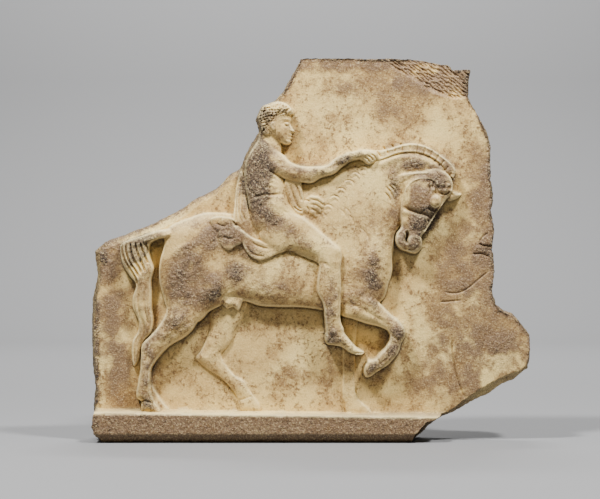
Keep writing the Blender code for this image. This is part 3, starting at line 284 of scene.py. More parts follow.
FAR_FORELEG = [
    (343, 306), (342, 325), (343, 355), (343, 375), (343, 399), (345.6, 404.7), (346, 412),
    (346.5, 418), (350, 422.5), (355, 421.5), (358, 418.5), (370, 417), (373, 414.3), (367, 407),
    (361.6, 402), (357, 395), (355, 385), (355.5, 370), (356, 350), (358, 325), (360, 306),
]
FAR_HIND_LEG = [
    (209.8, 300), (209.8, 325), (205, 340), (199, 352), (194.5, 358.5), (200.4, 364.3), (208, 370.6),
    (218.8, 377.3), (228.7, 386.8), (236, 397), (238.6, 407), (241.5, 412), (251, 414), (259.5, 412),
    (260, 407), (253, 396), (248.5, 390), (244, 381.8), (235, 376.4), (226, 366.5), (220.6, 354.8),
    (226, 348.5), (231.4, 340.4), (234, 331), (242.7, 317), (246, 300),
]
TAIL = [
    (172, 230), (173, 240), (166, 238), (157, 239.5), (150, 244), (149, 253), (151, 262), (153, 269),
    (150.5, 280), (151, 292), (151.3, 310), (152.5, 320), (150, 333), (143, 341), (140, 349),
    (138, 360), (133, 367), (130.7, 355), (131.5, 342), (137, 332), (137.5, 322), (132, 308),
    (131.7, 298), (135, 285), (129, 276), (122, 265), (119.5, 254), (120, 245), (126, 240.5),
    (140, 236), (155, 231),
]
TRUNK = [
    (165, 232), (170, 226), (180, 221), (190, 217.3), (204, 212.8), (223, 212.7), (240, 214),
    (262, 205), (285, 190), (310, 178), (335, 168), (355, 158), (372, 151.5), (390, 149), (410.7, 144),
    (426.7, 147), (438.4, 154), (449, 163), (454, 172), (448, 185), (430, 200), (412, 215), (401, 226),
    (395, 236), (394.5, 246), (393, 258), (393, 269), (391.5, 277), (389, 284), (387, 292), (384, 299),
    (372, 308), (355, 316), (341, 315), (319, 309.6), (300, 307.4), (274, 307), (258.5, 305.6),
    (247, 301.8), (240, 300.6), (233, 297.5), (227, 298.5), (221.5, 305), (210, 311), (198, 322),
    (180, 322), (166.5, 309), (162, 296), (158.6, 282), (158.2, 268), (160, 257), (163, 247),
]
NEAR_HIND_LEG = [
    (166, 308), (165, 314), (158, 326), (150, 335.5), (141.5, 344.5), (140.2, 358), (139.3, 372),
    (136.7, 387), (135.7, 397), (140.5, 402), (140.3, 407), (142, 411.5), (151, 414), (161, 413),
    (159, 408), (154, 401), (150.7, 391), (150, 378), (151.2, 368.5), (155.5, 361.5), (162, 353),
    (170, 345.5), (183, 338), (191, 331.5), (197, 323), (205, 315), (207, 300), (190, 284), (170, 288),
]
NEAR_FORELEG = [
    (344, 296), (364, 290), (374, 297), (383, 306), (391, 314), (400, 321), (405, 329), (405.5, 336),
    (401.5, 343.5), (399, 352), (393, 360), (387, 366), (378, 371.5), (370, 377), (366, 377.3),
    (363.7, 373), (364.6, 365.5), (368, 360), (375, 359), (380, 353), (386, 346.5), (390, 338),
    (388, 331.3), (380, 327), (366, 323.5), (353, 319), (341, 315), (336, 303),
]
HORSE_HEAD = [
    (438, 169), (449, 175), (453, 182), (452, 193), (446.5, 200), (439, 210), (432, 221.5), (426, 231),
    (421.5, 238), (422.8, 247), (416, 253.5), (409, 252), (400.5, 249), (395.7, 242), (396.5, 233.5),
    (401, 227), (400.4, 214), (401, 201), (404, 189), (410, 180), (424, 171.5),
]
CLOAK_FALL = [
    (240.5, 169), (244, 176), (246, 192.7), (249, 210.4), (252, 222), (256.5, 232.5), (266, 238),
    (268, 243), (256, 242), (246, 236), (239, 228), (233, 222), (233.8, 208), (235.5, 190),
    (237.8, 178),
]
FLAPS = [
    [
        (210.2, 219), (216, 216.5), (224, 216.5), (232, 218), (236, 222), (232.5, 228), (226, 232.5),
        (218.5, 231.5), (212.5, 226.5),
    ],
    [
        (219.5, 231), (228, 231.5), (233.5, 226), (238, 226), (242, 231), (244.3, 237), (241.8, 243.2),
        (235.3, 246.4), (230, 250), (223.6, 247.6), (219, 241),
    ],
    [
        (240.5, 229.5), (247, 234), (255, 239), (266, 241), (279, 240), (284, 245), (284, 251),
        (277, 253.8), (268.5, 258.2), (260, 260), (253.4, 258.2), (247, 252.6), (242.8, 244),
    ],
]
TORSO = [
    (257, 144), (266, 143), (275, 150), (281, 160), (283, 170), (284, 177), (285.6, 184.3),
    (287.6, 196), (290, 204), (296, 212), (304, 219), (304, 230), (292, 240), (272, 239),
    (259.5, 234.5), (252.5, 227), (250, 217), (247.6, 202), (245, 188), (244, 172), (245.5, 160),
    (250, 151.5),
]
RIDER_LEG = [
    (284, 212), (302, 216.5), (311.7, 224), (323.8, 234.2), (334, 243), (340.8, 249.5), (341.8, 257),
    (340.3, 270), (341, 285), (340.4, 303), (340.5, 320), (344, 331.5), (350, 340), (357, 347.5),
    (364.5, 352.3), (360, 355), (351, 353), (342.5, 347.3), (334, 345.3), (327, 344), (324.8, 339),
    (326, 331), (324.8, 320), (323.3, 305), (317, 292), (317, 282), (319, 270), (318, 263.5),
    (308, 258.5), (297.7, 254.3), (289.5, 250.5), (279, 253), (266, 246), (259, 234), (268, 222),
]
NEAR_ARM = [
    (257, 148), (260, 142), (266, 142.8), (274.7, 149), (284, 155), (290, 161.5), (299, 165.4),
    (312, 166.4), (327, 164.8), (335, 158.5), (345, 153.6), (356, 150.6), (366, 149.3), (374, 150.6),
    (377.5, 155), (374.5, 162), (368, 164.5), (361, 160), (352, 161), (342.5, 167), (334, 174),
    (321, 178), (312, 183), (299, 182), (284, 179), (273, 174), (264, 167), (258.5, 158),
]
RIDER_NECK = [
    (260, 126), (280, 128), (280, 138), (281.5, 152), (276, 160), (262, 158), (253, 148), (258, 139),
]
# The rider's head: a plain profile of equal thirds, from the hairline to the brow, nose and chin
HEAD = [
    (265, 107), (272, 104), (280, 103.5), (286, 106), (289.5, 110.5), (291, 116), (291, 120.6),
    (290.2, 122.8), (292.2, 127.4), (294.4, 131), (293.8, 132.6), (291.6, 133.2), (292.4, 135.2),
    (291.2, 136.6), (292, 138.2), (290.5, 139.8), (291.2, 142), (289.2, 144), (284.5, 144.4),
    (278, 141.5), (271, 138), (264, 135), (259.5, 128), (258.6, 118),
]


TRUNK_MUSCLES = [
    (196, 252, 30, 34, 20, 5.5),     # haunch
    (212, 290, 14, 18, 10, 3.5),     # stifle
    (182, 300, 12, 20, -15, 2.0),
    (168, 268, 7, 26, 0, 1.2),
    (275, 280, 46, 24, 0, 3.0),      # barrel
    (360, 268, 16, 28, 15, 4.0),     # shoulder
    (376, 268, 12, 26, 5, 3.5),      # breast
    (358, 300, 18, 12, 20, 4.0),     # upper arm
    (366, 205, 18, 34, 25, 1.5),     # neck
    (238, 262, 12, 26, -8, -2.0),    # flank hollow
    (302, 205, 16, 14, 0, -2.5),
    (345, 190, 12, 30, 50, -1.0),
]


def trunk_top(X, Y):
    top = ramp(X, Y, (395, 165), (330, 250), 15.5, 20.0)
    for muscle in TRUNK_MUSCLES:
        top = top + hill(X, Y, *muscle)
    return top


def carve(r):
    """Carves the whole face, from the parts farthest back to the nearest."""
    far_legs(r)
    tail(r)
    trunk(r)
    near_legs(r)
    neck_and_mane(r)
    horse_head(r)
    cloak(r)
    far_hand(r)
    rider(r)
    rider_head(r)
    near_arm(r)
    ledge(r)


def far_legs(r):
    def hind_top(X, Y):
        return ramp(X, Y, (225, 320), (245, 405), 7.5, 6.0)

    r.form(FAR_HIND_LEG, hind_top, bulge=0.45, gutter=0.8)
    r.form(FAR_FORELEG, 5.0, bulge=0.5, round_over=5, gutter=0.7)
    r.swell(358, 410, 7, 5, 25, 1.5)
    r.swell(203, 357, 6, 5, 30, 1.2)
    r.swell(241, 390, 6, 5, 30, 1.0)
    r.cut([(212, 345), (207, 352), (205, 358)], 2.0, 0.8)
    r.cut([(236, 401), (244, 399.5), (252, 396)], 0.9, 0.9)
    r.swell(247, 407, 7, 5, 20, 0.8)


TAIL_LOCKS = [
    [(121.5, 243), (122, 252), (125.5, 262), (131, 271), (135.5, 279), (137, 286)],
    [(125.5, 242.5), (126, 252), (129.5, 262), (135, 270), (139, 278)],
    [(130, 242), (131, 251), (134, 260), (138.5, 267), (141.5, 274)],
    [(135, 242), (136.5, 250), (139.5, 258), (143, 266), (145.5, 273)],
    [(140, 242), (142, 249), (145, 257), (148, 264)],
    [(145, 243), (147, 248), (149.3, 255)],
    [(134.5, 290), (132.5, 300), (135, 313), (138.5, 325), (138, 336)],
    [(139, 292), (137.5, 303), (140, 316), (143.5, 328), (142, 338)],
    [(146, 286), (143.5, 298), (145, 312), (148.5, 326)],
    [(138, 334), (134.5, 343), (133.5, 352), (133.5, 363)],
]


def tail(r):
    def top(X, Y):
        return ramp(X, Y, (160, 236), (140, 290), 19, 16) - ramp(X, Y, (140, 300), (134, 360), 0, 8)

    r.cut([(158, 241), (156.5, 254), (157.5, 272), (156, 292), (156.5, 312)], 3.2, 3.0, fade=0.12)
    r.form(TAIL, top, bulge=0.7, round_over=9, gutter=1.5)
    for k, lock in enumerate(TAIL_LOCKS):
        r.cut(lock, 0.95, 3.6 if k < 6 else 1.6, fade=0.1)
    for lock in TAIL_LOCKS[:6]:
        r.cut([(x + 2.2, y + 0.4) for x, y in lock], 0.9, -1.3, fade=0.2)
    # The tail's root, with the dark recess below it
    r.cut([(151, 246.5), (158, 244), (166, 242)], 2.0, 4.0, fade=0.2)
    r.cut([(174, 233), (162, 236), (150, 239.5), (141, 240.5)], 2.2, -2.4, fade=0.15)


SHEATH = [
    (221, 297), (232, 295), (243, 299), (241.5, 304), (238, 310.5), (233, 307), (227, 308.5),
    (222.5, 304),
]


def trunk(r):
    r.form(TRUNK, trunk_top, bulge=0.55, round_over=20, gutter=2.0)
    r.cut([(230, 236), (233, 258), (231, 276), (228, 290)], 5.0, 1.6, fade=0.45)
    r.cut([(186, 305), (192, 296), (196, 280), (200, 262)], 4.0, 1.0, fade=0.4)
    r.cut([(206, 306), (203.5, 301), (201, 296)], 1.0, 0.8)
    r.cut([(252, 262), (262, 282), (266, 300)], 4.5, 0.6, fade=0.4)
    # Shoulder, breast and the fold over the upper arm
    r.cut([(344, 316), (352, 305), (364, 296), (376, 290)], 2.6, 1.2, fade=0.3)
    r.cut([(350, 240), (362, 256), (366, 274), (362, 290)], 3.5, 1.3, fade=0.4)
    r.cut([(396, 232), (386, 246), (380, 262), (380, 280)], 3.0, 1.2, fade=0.4)
    r.swell(386, 284, 5, 9, 15, 1.6)
    r.swell(372, 262, 7, 12, 10, 1.2)
    r.cut([(389, 262), (388, 272), (391, 280)], 1.6, 1.0, fade=0.3)
    # The crease between thigh and belly, and the shaded underside of the belly
    r.cut([(221, 301), (224, 294.5), (229, 289), (238, 285)], 1.3, 1.5, fade=0.25)
    r.cut([(231, 296), (246, 297), (262, 300.5), (290, 303)], 3.0, 2.0, fade=0.3)
    r.form(SHEATH, 15, bulge=0.7, round_over=5, blend=3, gutter=0.5)
    r.swell(228.5, 303, 3.5, 3, 20, 1.2)
    r.swell(237.5, 305, 2.5, 2.5, 20, 0.8)
    r.soften(TRUNK, 3.5, 5)
    # The stifle between its two valleys
    r.swell(214, 284, 7, 14, 8, 1.8)
    r.cut([(203, 266), (202, 282), (206, 298)], 2.8, 1.3, fade=0.35)
    r.cut([(226, 262), (227, 276), (225, 289)], 2.4, 1.4, fade=0.35)


HOOF_REST = [
    (150, 386), (155, 392), (162, 402), (170, 412), (172, 418), (140, 418), (141, 404), (148, 398),
]


def near_legs(r):
    def hind_top(X, Y):
        thigh = ramp(X, Y, (187, 288), (174, 324), 16, 25)
        return thigh - ramp(X, Y, (165, 330), (147, 350), 0, 3) - ramp(X, Y, (147, 385), (148, 402), 0, 3)

    def fore_top(X, Y):
        upper = ramp(X, Y, (352, 292), (364, 306), 17, 25)
        return upper + hill(X, Y, 398, 332, 9, 9, 0, 1.5) - ramp(X, Y, (392, 350), (372, 368), 0, 3)

    # The stone left standing between the hoof and the ground
    r.form(HOOF_REST, 9, bulge=0.6, round_over=8)
    r.form(NEAR_HIND_LEG, hind_top, bulge=0.8, round_over=14, blend=5, gutter=0.9)
    r.soften(NEAR_HIND_LEG, 2.5, 4)
    r.swell(178, 318, 8, 12, 35, 1.5)
    r.cut([(198, 317), (184, 326), (168, 338), (156, 348)], 2.4, 0.9, fade=0.3)
    # Hock, sinew of the cannon, fetlock and hoof
    r.cut([(150, 338), (147, 346), (145.5, 356), (145, 366)], 1.3, 1.8, fade=0.2)
    r.cut([(145, 366), (143.5, 376), (142.5, 388)], 1.1, 1.2, fade=0.2)
    r.cut([(152, 344), (149.5, 352), (149, 362)], 1.0, 1.3, fade=0.2)
    r.swell(154, 352, 3, 4, 20, 1.0)
    r.swell(141.5, 395, 3.5, 4, 0, 1.6)
    r.cut([(139, 402), (143, 400.5), (149, 401.5), (154, 403)], 1.0, 1.6, fade=0.1)
    r.swell(147.5, 407, 5, 3.5, 0, 1.5)
    r.form(NEAR_FORELEG, fore_top, bulge=0.8, round_over=12, blend=4, gutter=0.9)
    r.soften(NEAR_FORELEG, 1.6, 3)
    r.cut([(346, 300), (362, 309), (378, 318), (391, 325)], 2.0, 1.4, fade=0.25)
    r.cut([(352, 296), (366, 301), (380, 309)], 2.0, -0.8, fade=0.3)
    r.swell(401, 330, 3.5, 6, 10, 1.0)
    r.cut([(390, 333), (394, 337), (400, 340)], 1.1, 1.0, fade=0.2)
    r.cut([(396, 345), (391, 353), (384, 360), (376, 366)], 1.2, 0.9, fade=0.2)
    # Fetlock and the tucked hoof
    r.swell(384, 356, 4, 3.5, 40, 1.2)
    r.cut([(376.5, 356.5), (379, 361), (381.5, 366)], 1.0, 1.6, fade=0.1)
    r.swell(370, 368, 4, 5, 30, 1.2)


MANE_OUTER = [
    (373, 151), (382, 150), (392, 147.6), (402, 144.4), (411, 143), (420, 144), (430, 147.6),
    (438.4, 153), (446, 158.6), (452.5, 164.5), (456.3, 171.5), (453.5, 178),
]
MANE_INNER = [
    (449, 174.5), (443, 166.5), (436, 160.5), (428, 156), (418, 153), (407, 152.5), (396, 154.3),
    (387, 158), (378, 161),
]


TUFTS = [(328, 206), (334.5, 197), (341, 189.5), (348.5, 181.5), (355, 173.5), (363, 166.5)]
NECK_LINES = [
    ((338, 208), (347, 219)), ((342, 206), (352, 217)), ((347, 214), (354, 224)),
    ((358, 226), (370, 241)), ((322, 212), (326, 219)), ((385, 186), (394, 200)),
    ((388, 184), (398, 198)), ((384, 192), (391, 203)), ((391, 183), (400, 195)),
]


def neck_and_mane(r):
    under_crest = [(x - 1.5, y + 4.2) for x, y in MANE_INNER]
    r.cut(under_crest, 3.6, -2.6, fade=0.08)
    r.form(MANE_OUTER + MANE_INNER, 16, bulge=0.45, round_over=3.5, gutter=0.2)
    # A roll along the crest and one along the neck, with short cuts across
    crest = [(x + 0.3, y + 1.6) for x, y in MANE_OUTER[1:-1]]
    root = [(x + 0.4, y - 1.3) for x, y in MANE_INNER[1:]]
    r.cut(crest, 0.9, -1.0, fade=0.05)
    r.cut(root, 0.9, -1.3, fade=0.05)
    centre = np.array([412.0, 196.0])
    for turn in np.arange(-47, 60, 8.9):
        a = np.radians(turn)
        out = np.array([np.sin(a), -np.cos(a)])
        reach = np.interp(turn, [-47, 0, 60], [60, 53, 47])
        start = centre + out * (reach - 9)
        end = centre + out * reach
        r.cut([start, (start + end) / 2 + 0.6, end], 0.8, 2.6 if turn < -10 else 1.5, fade=0.1)
    for x, y in TUFTS:
        r.cut([(x - 6, y + 2), (x - 1, y - 1.5), (x + 4, y), (x + 6, y + 5)], 0.65, 1.1, fade=0.3)
        roll = [(x - 5, y + 3.6), (x - 1, y + 0.2), (x + 3, y + 1.8), (x + 5, y + 6)]
        r.cut(roll, 0.65, -0.6, fade=0.3)
        r.cut([(x - 4, y + 5.5), (x + 0.5, y + 3), (x + 4, y + 5)], 0.65, 0.7, fade=0.3)
    for start, end in NECK_LINES:
        middle = (np.array(start) + np.array(end)) / 2 + np.array([1.5, -1.0])
        r.cut([start, middle, end], 0.8, 2.4 if start[0] > 380 else 1.0, fade=0.3)


FAR_EAR = [(449, 191), (457, 192.3), (462.6, 194.2), (457, 198.6), (449, 200.5)]
EAR = [
    (436, 184), (441, 179.5), (448, 179), (452.5, 184), (452.5, 191), (448, 195.5), (441, 194.5),
    (438, 190),
]
CHEEK_BAND = [
    (394, 190), (396, 180), (400, 174.8), (408, 173), (420, 172), (432, 172.2), (440, 175), (445, 181),
    (438, 186), (428, 182), (416, 182), (408, 189), (403, 200), (397, 199),
]


def horse_head(r):
    def top(X, Y):
        return 22 - ramp(X, Y, (425, 215), (412, 240), 0, 1.5)

    def band_top(X, Y):
        return ramp(X, Y, (392, 186), (414, 176), 15, 22.5)

    r.swell(418, 163, 20, 5, 8, 1.5)
    r.swell(392, 172, 9, 12, 30, 1.0)
    r.form(FAR_EAR, 12, bulge=0.8, gutter=0.4)
    r.form(HORSE_HEAD, top, bulge=0.6, round_over=8, gutter=0.9)
    r.form(CHEEK_BAND, band_top, bulge=0.5, round_over=4, blend=1.5, gutter=0.5)
    # Cheek, flat with a bright upper rim and a deep fall below
    r.form(oval(419.5, 194.5, 15.5, 17, 25), 23.8, bulge=0.4, round_over=7, blend=2.5, gutter=0.2)
    r.cut([(405.5, 190), (411, 182.5), (420, 178.6), (430, 179), (438, 183)], 0.9, -1.3, fade=0.12)
    r.cut([(400, 184), (406, 181), (414, 176.2), (426, 175.2), (436, 177.5)], 1.2, 1.0, fade=0.2)
    r.swell(422, 197, 8, 9, 0, 1.8)
    r.cut([(402, 207), (410, 210), (418, 212.8), (426, 215), (432, 218)], 1.7, 3.2, fade=0.2)
    r.cut([(428, 184), (430, 190), (428, 196)], 1.1, 2.0, fade=0.25)
    # Brow and eye, and the hollow side of the nose
    r.form(oval(435.3, 201.6, 6.0, 6.6, 10), 27.8, bulge=1.0, round_over=5.5, blend=1.5, gutter=1.6)
    r.swell(436.5, 198.5, 2.2, 1.8, 0, 0.8)
    r.cut([(430.5, 204.5), (435, 206.4), (439.5, 203.6)], 0.8, 1.2, fade=0.2)
    r.cut([(427.5, 207), (433, 210.5), (440, 208)], 1.5, 2.6, fade=0.2)
    r.cut([(437, 210), (431, 219), (423, 230)], 3.2, 3.6, fade=0.3)
    r.cut([(444, 202), (436.8, 213.5), (429.8, 225.5), (423.3, 234.5)], 1.1, -3.0, fade=0.12)
    r.swell(417, 221, 7, 6, 50, 2.0)
    # Jaw bar with two small swellings
    r.swell(405, 212.5, 2.6, 3.2, 0, 1.8)
    r.swell(404.6, 221.5, 2.6, 3.6, 0, 1.8)
    r.cut([(409, 213), (409.5, 220), (411, 228)], 1.2, 1.3, fade=0.25)
    # Ear, laid back in rough hair
    r.form(EAR, 23.6, bulge=0.6, round_over=5, blend=2.0, gutter=0.6)
    for k in range(16):
        x, y = 431 + 1.45 * k, 183.5 + 3.0 * ((k * 5) % 4) + 0.12 * k
        r.swell(x, y, 1.2, 1.5, 40 * k, -2.0 if k % 2 else 1.5)
    r.cut([(440.5, 193.5), (446, 194.5), (450.5, 191)], 0.9, 2.2, fade=0.15)
    # Muzzle: lower lip, upper lip with the nostril, and the open mouth between
    r.form(oval(401.0, 241.5, 5.2, 7.2, -12), 22.5, bulge=1.0, round_over=5, blend=1.0, gutter=0.4)
    r.form(oval(413.3, 243.3, 8.8, 10, 35), 24.5, bulge=0.9, round_over=8, blend=1.0, gutter=0.4)
    r.cut([(406.2, 230.5), (407.6, 235.5), (406.4, 239.5), (407.4, 244.5)], 1.5, 8.0, fade=0.2)
    r.swell(403.5, 233, 2.4, 2.2, 0, 1.4)
    r.swell(412, 237, 2.6, 1.8, 20, 1.0)
    r.cut([(414.8, 239), (417.3, 240.6), (417.2, 243.5)], 0.9, 1.6, fade=0.15)
    r.cut([(402, 247.5), (408, 249.4), (414, 249.4), (419.5, 244.5)], 0.9, 1.8, fade=0.2)
    r.cut([(398, 236), (401, 233), (404.5, 236), (403, 241)], 0.9, 1.2, fade=0.2)


FLAP_FOLDS = [
    [(246, 243), (250, 251), (257, 255.5), (268, 256)],
    [(251, 240.8), (256, 245), (261, 247), (271, 249.8)],
    [(258, 238.5), (266, 242.5), (276, 244.5)],
    [(222, 236), (229, 238.5), (236, 238)],
    [(216, 223.5), (223, 226), (229, 225)],
]


def cloak(r):
    def fall_top(X, Y):
        return ramp(X, Y, (240, 175), (245, 222), 13, 21)

    r.form(CLOAK_FALL, fall_top, bulge=0.6, round_over=5, gutter=0.6)
    for k, depth in enumerate((1.6, 1.8, 1.5)):
        x = 236.2 + 3.1 * k
        r.cut([(240 + 1.2 * k, 177), (x, 195), (x - 0.6, 211), (x + 2.2 * k, 223)], 0.95, depth, fade=0.1)
    for flap, top in zip(FLAPS, (23.5, 24.5, 25.5)):
        r.form(flap, top, bulge=0.3, round_over=3.5, gutter=1.1)
    for fold in FLAP_FOLDS:
        r.cut(fold, 1.1, 1.6, fade=0.2)
    r.cut([(232, 220.5), (236.5, 225.5), (241.8, 231.5)], 1.0, 2.6, fade=0.2)


CLOTH = [
    (284.5, 180), (292, 177), (300, 178), (302, 188), (304, 197), (304, 207), (302.5, 214.5),
    (298, 215), (293, 209), (288.5, 200),
]


def far_hand(r):
    r.form(CLOTH, 20.5, bulge=0.5, round_over=4, gutter=1.2)
    r.cut([(290, 184), (293.5, 196), (298, 206), (302, 209.5)], 1.1, 2.2, fade=0.12)
    r.cut([(295.5, 183), (299, 193), (302, 202)], 1.0, 2.0, fade=0.12)
    r.cut([(294, 206.5), (298, 210), (302.5, 211.5)], 0.8, 2.4, fade=0.15)
    r.form(oval(312.5, 206, 9.5, 10.5, 15), 20.5, bulge=0.45, round_over=6, gutter=0.9)
    # Four bent fingers, one above the other
    for k in range(4):
        x, y = 311 - 0.5 * k, 197.5 + 4.6 * k
        reach = (11.5, 11.5, 10, 6)[k]
        finger = [(x, y, 1.7, 21), (x + 0.5 * reach, y + 0.8, 2.0, 22.5), (x + reach, y + 4.6, 1.8, 20.5)]
        r.limb(finger, bulge=0.8, gutter=1.3)
    r.cut([(304.5, 200), (308, 200.6), (310.5, 202)], 0.8, 2.2, fade=0.15)
    r.cut([(306.5, 206), (309, 210.5), (308.5, 215.5)], 0.9, 1.8, fade=0.2)


SHIN = [
    (322, 259), (334, 254), (341, 258), (340.3, 270), (341, 285), (340.4, 303), (340.5, 320),
    (344, 331.5), (338, 338), (328, 338), (326, 331), (324.8, 320), (323.3, 305), (318, 292),
    (317, 282), (319, 270),
]
BUTTOCK = [
    (252, 212), (262, 206), (280, 206), (296, 212), (312, 224), (322, 236), (320, 252), (300, 250),
    (284, 250), (268, 244), (256, 230),
]


def rider(r):
    def torso_top(X, Y):
        return ramp(X, Y, (262, 150), (272, 225), 22.5, 27.5)

    r.form(RIDER_NECK, 16.5, bulge=0.75, round_over=9, gutter=0.7)
    r.cut([(267, 134), (271, 141), (276, 149)], 1.6, -0.7, fade=0.3)
    r.form(TORSO, torso_top, bulge=0.75, round_over=15, gutter=1.2)
    # Shoulder blade, ribs, waist, belly and hip
    r.swell(254, 168, 6, 13, 12, 1.8)
    r.cut([(259, 158), (262.5, 170), (261, 183), (257, 192)], 2.0, 1.6, fade=0.3)
    r.cut([(246, 178), (249, 188), (255, 195), (262, 198)], 1.2, 1.3, fade=0.25)
    r.swell(272, 184, 8, 7, 0, 1.4)
    r.swell(276, 205, 9, 8, 10, 2.0)
    r.swell(262, 222, 9, 9, 0, 1.2)
    r.cut([(248.5, 198.5), (256, 197), (262, 195), (273, 195), (287, 194)], 1.3, 1.7, fade=0.2)
    for k in range(3):
        rib = [(265 + 2 * k, 177 + 5 * k), (272 + k, 178.5 + 5 * k), (280 + k, 183 + 4 * k)]
        r.cut(rib, 1.5, 0.8, fade=0.3)
    r.cut([(248, 205), (252, 214), (256, 222)], 1.6, 1.2, fade=0.3)
    r.cut([(280, 207), (287, 214), (297, 218.5)], 1.4, 1.5, fade=0.3)
    r.swell(316, 282, 9, 22, 0, -2.0)
    r.swell(346, 282, 7, 22, 0, -1.5)
    r.form(RIDER_LEG, leg_top, bulge=0.6, round_over=13, blend=1.5, gutter=1.8)
    r.soften(RIDER_LEG, 2.2, 3.5)
    r.form(SHIN, shin_top, bulge=0.5, round_over=9, blend=1.0, gutter=1.2)
    r.soften(SHIN, 1.6, 2.5)
    r.soften(BUTTOCK, 3.5, 3)
    r.swell(334, 250, 5, 6, 0, 1.6)
    r.swell(333, 262, 4, 4, 0, 0.8)
    r.cut([(300, 224), (314, 234), (326, 246)], 3.4, 0.8, fade=0.35)
    # The hollow under the buttock and the lower plane of the thigh
    r.cut([(281, 255), (287, 250.5), (294, 245)], 1.2, 2.2, fade=0.2)
    r.cut([(290, 249.5), (304, 254.5), (319, 261)], 3.8, 4.5, fade=0.2)
    r.cut([(320, 262), (326, 264), (331, 268)], 1.4, 1.2, fade=0.3)
    # Shin, calf, ankle, heel and toes
    r.cut([(337, 262), (337.5, 285), (337, 310), (338, 326)], 1.4, -0.9, fade=0.25)
    r.swell(324, 284, 5, 13, 0, 0.9)
    r.cut([(327, 294), (330, 306), (331, 322)], 2.0, 0.9, fade=0.3)
    r.swell(333.5, 331, 2.8, 2.8, 0, 1.5)
    r.cut([(327, 343), (331, 339), (333, 335)], 1.2, 1.2, fade=0.2)
    r.swell(345, 341, 5, 3, 40, 0.8)
    for k in range(4):
        r.cut([(354 + 2.1 * k, 353.4), (357.6 + 1.8 * k, 351.2 + 0.3 * k)], 0.5, 1.2, fade=0)


def leg_top(X, Y):
    thigh = ramp(X, Y, (285, 230), (335, 255), 29, 31)
    return thigh - ramp(X, Y, (330, 262), (334, 290), 0, 1.5) - ramp(X, Y, (330, 300), (340, 350), 0, 3.0)


def shin_top(X, Y):
    return 30 - ramp(X, Y, (330, 300), (338, 345), 0, 4)


HAIR = [
    (259.5, 129), (257.4, 120), (259, 111), (264.5, 105), (272, 101.8), (281, 101.6), (288, 104.6),
    (292.4, 109.6), (293, 114), (289.5, 115.2), (284, 115), (279.5, 117.5), (277, 121.5),
    (275.5, 124.5), (272, 121.5), (269.5, 124), (269.8, 130), (268.5, 135), (263.5, 134),
]


def rider_head(r):
    r.form(HEAD, 20.5, bulge=0.75, round_over=11, gutter=0.9)
    # Plain ear, eye, brow, cheek, nostril and mouth
    r.swell(286.6, 123.6, 3.0, 2.4, 10, -1.4)
    r.form(oval(286.9, 123.9, 2.1, 1.4, 8), 20.3, bulge=0.7, round_over=1.6)
    r.cut([(282.8, 120.4), (286.6, 119.2), (290.6, 120.6)], 0.9, -0.9, fade=0.2)
    r.cut([(284.6, 125.8), (287, 126.4), (289.4, 125.6)], 0.6, 0.5, fade=0.2)
    r.swell(282, 131, 5, 5, 0, 0.9)
    r.swell(291.6, 131.8, 0.8, 0.7, 0, -1.0)
    r.cut([(291.4, 128), (288.8, 131), (288.4, 133)], 0.9, 0.5, fade=0.3)
    r.cut([(287.6, 136.6), (291.6, 136.7)], 0.55, 1.1, fade=0.1)
    r.swell(288.8, 141.4, 2.2, 2.0, 0, 0.6)
    r.form(HAIR, 21.5, bulge=0.7, round_over=9, gutter=0.8)
    r.form(oval(273, 126.5, 2.6, 4.4, -10), 22.5, bulge=0.8, round_over=3, gutter=0.6)
    r.swell(273.3, 126.3, 1.1, 2.2, -10, -1.1)
    # Short curls in loose rows, with drilled gaps that are deepest at the back
    dice = np.random.default_rng(5)
    for row in range(11):
        for k in range(13):
            dx, dy, size, turn = dice.uniform(-1, 1, 4)
            x = 258.5 + 2.9 * k + 1.45 * (row % 2) + 0.8 * dx
            y = 103.6 + 2.8 * row + 0.018 * (x - 272) ** 2 + 0.7 * dy
            if x > 292 or y > 115 + 1.1 * max(0, 276 - x) or y > 134 or y < 103.5 + 0.02 * (x - 275) ** 2:
                continue
            r.swell(x, y, 1.5 + 0.4 * size, 1.1, 90 * turn, 1.7)
            r.swell(x + 1.5, y + 1.0, 0.8, 0.7 + 0.2 * size, 0, -1.8 - 0.09 * max(0, 275 - x))


def near_arm(r):
    def top(X, Y):
        return ramp(X, Y, (258, 150), (284, 168), 21, 27.5) - ramp(X, Y, (318, 172), (370, 156), 0, 4)

    r.form(NEAR_ARM, top, bulge=0.95, round_over=10, blend=3, gutter=2.0)
    # Shoulder, armpit, elbow and the muscles of the forearm
    r.swell(266, 154, 8, 7, 25, 1.0)
    r.cut([(269, 170.5), (275, 174), (284, 179)], 1.1, 3.0, fade=0.2)
    r.cut([(274, 160), (284, 167), (296, 172)], 2.2, 0.7, fade=0.3)
    r.cut([(300, 170), (303, 175), (302, 181)], 2.0, 0.6, fade=0.3)
    r.cut([(316, 174), (330, 169), (343, 160)], 2.0, 0.8, fade=0.3)
    r.cut([(333.5, 157.5), (335.5, 162), (335.5, 168)], 1.2, 1.7, fade=0.2)
    r.swell(341, 161, 4, 3, -20, 0.8)
    # Bent fingers on the neck
    r.swell(365, 153, 4, 3, 0, 0.8)
    for k in range(3):
        x, y = 364.5 + 3.2 * k, 157.5 - 1.6 * k
        r.cut([(x, y), (x + 3.2, y + 1.8), (x + 5.4, y + 5)], 0.75, 2.4, fade=0.1)


def ledge(r):
    """The ground line: a shelf along the foot, with a worn lower arris."""
    deep = LEDGE_DEPTH / RISE_UNIT
    back = LEDGE_TOP - 1.5 + (r.X - LEDGE_LEFT) * LEDGE_TILT
    front = deep * np.clip((r.Y - back) / 2.2, 0, 1)
    worn = np.clip((r.Y - WORN_FROM) / (BASE - WORN_FROM), 0, 1)
    front = front - 0.4 * deep * worn**1.3
    r.h = np.where(r.Y < back, r.h, np.maximum(r.h * (r.Y < back + 12), front))


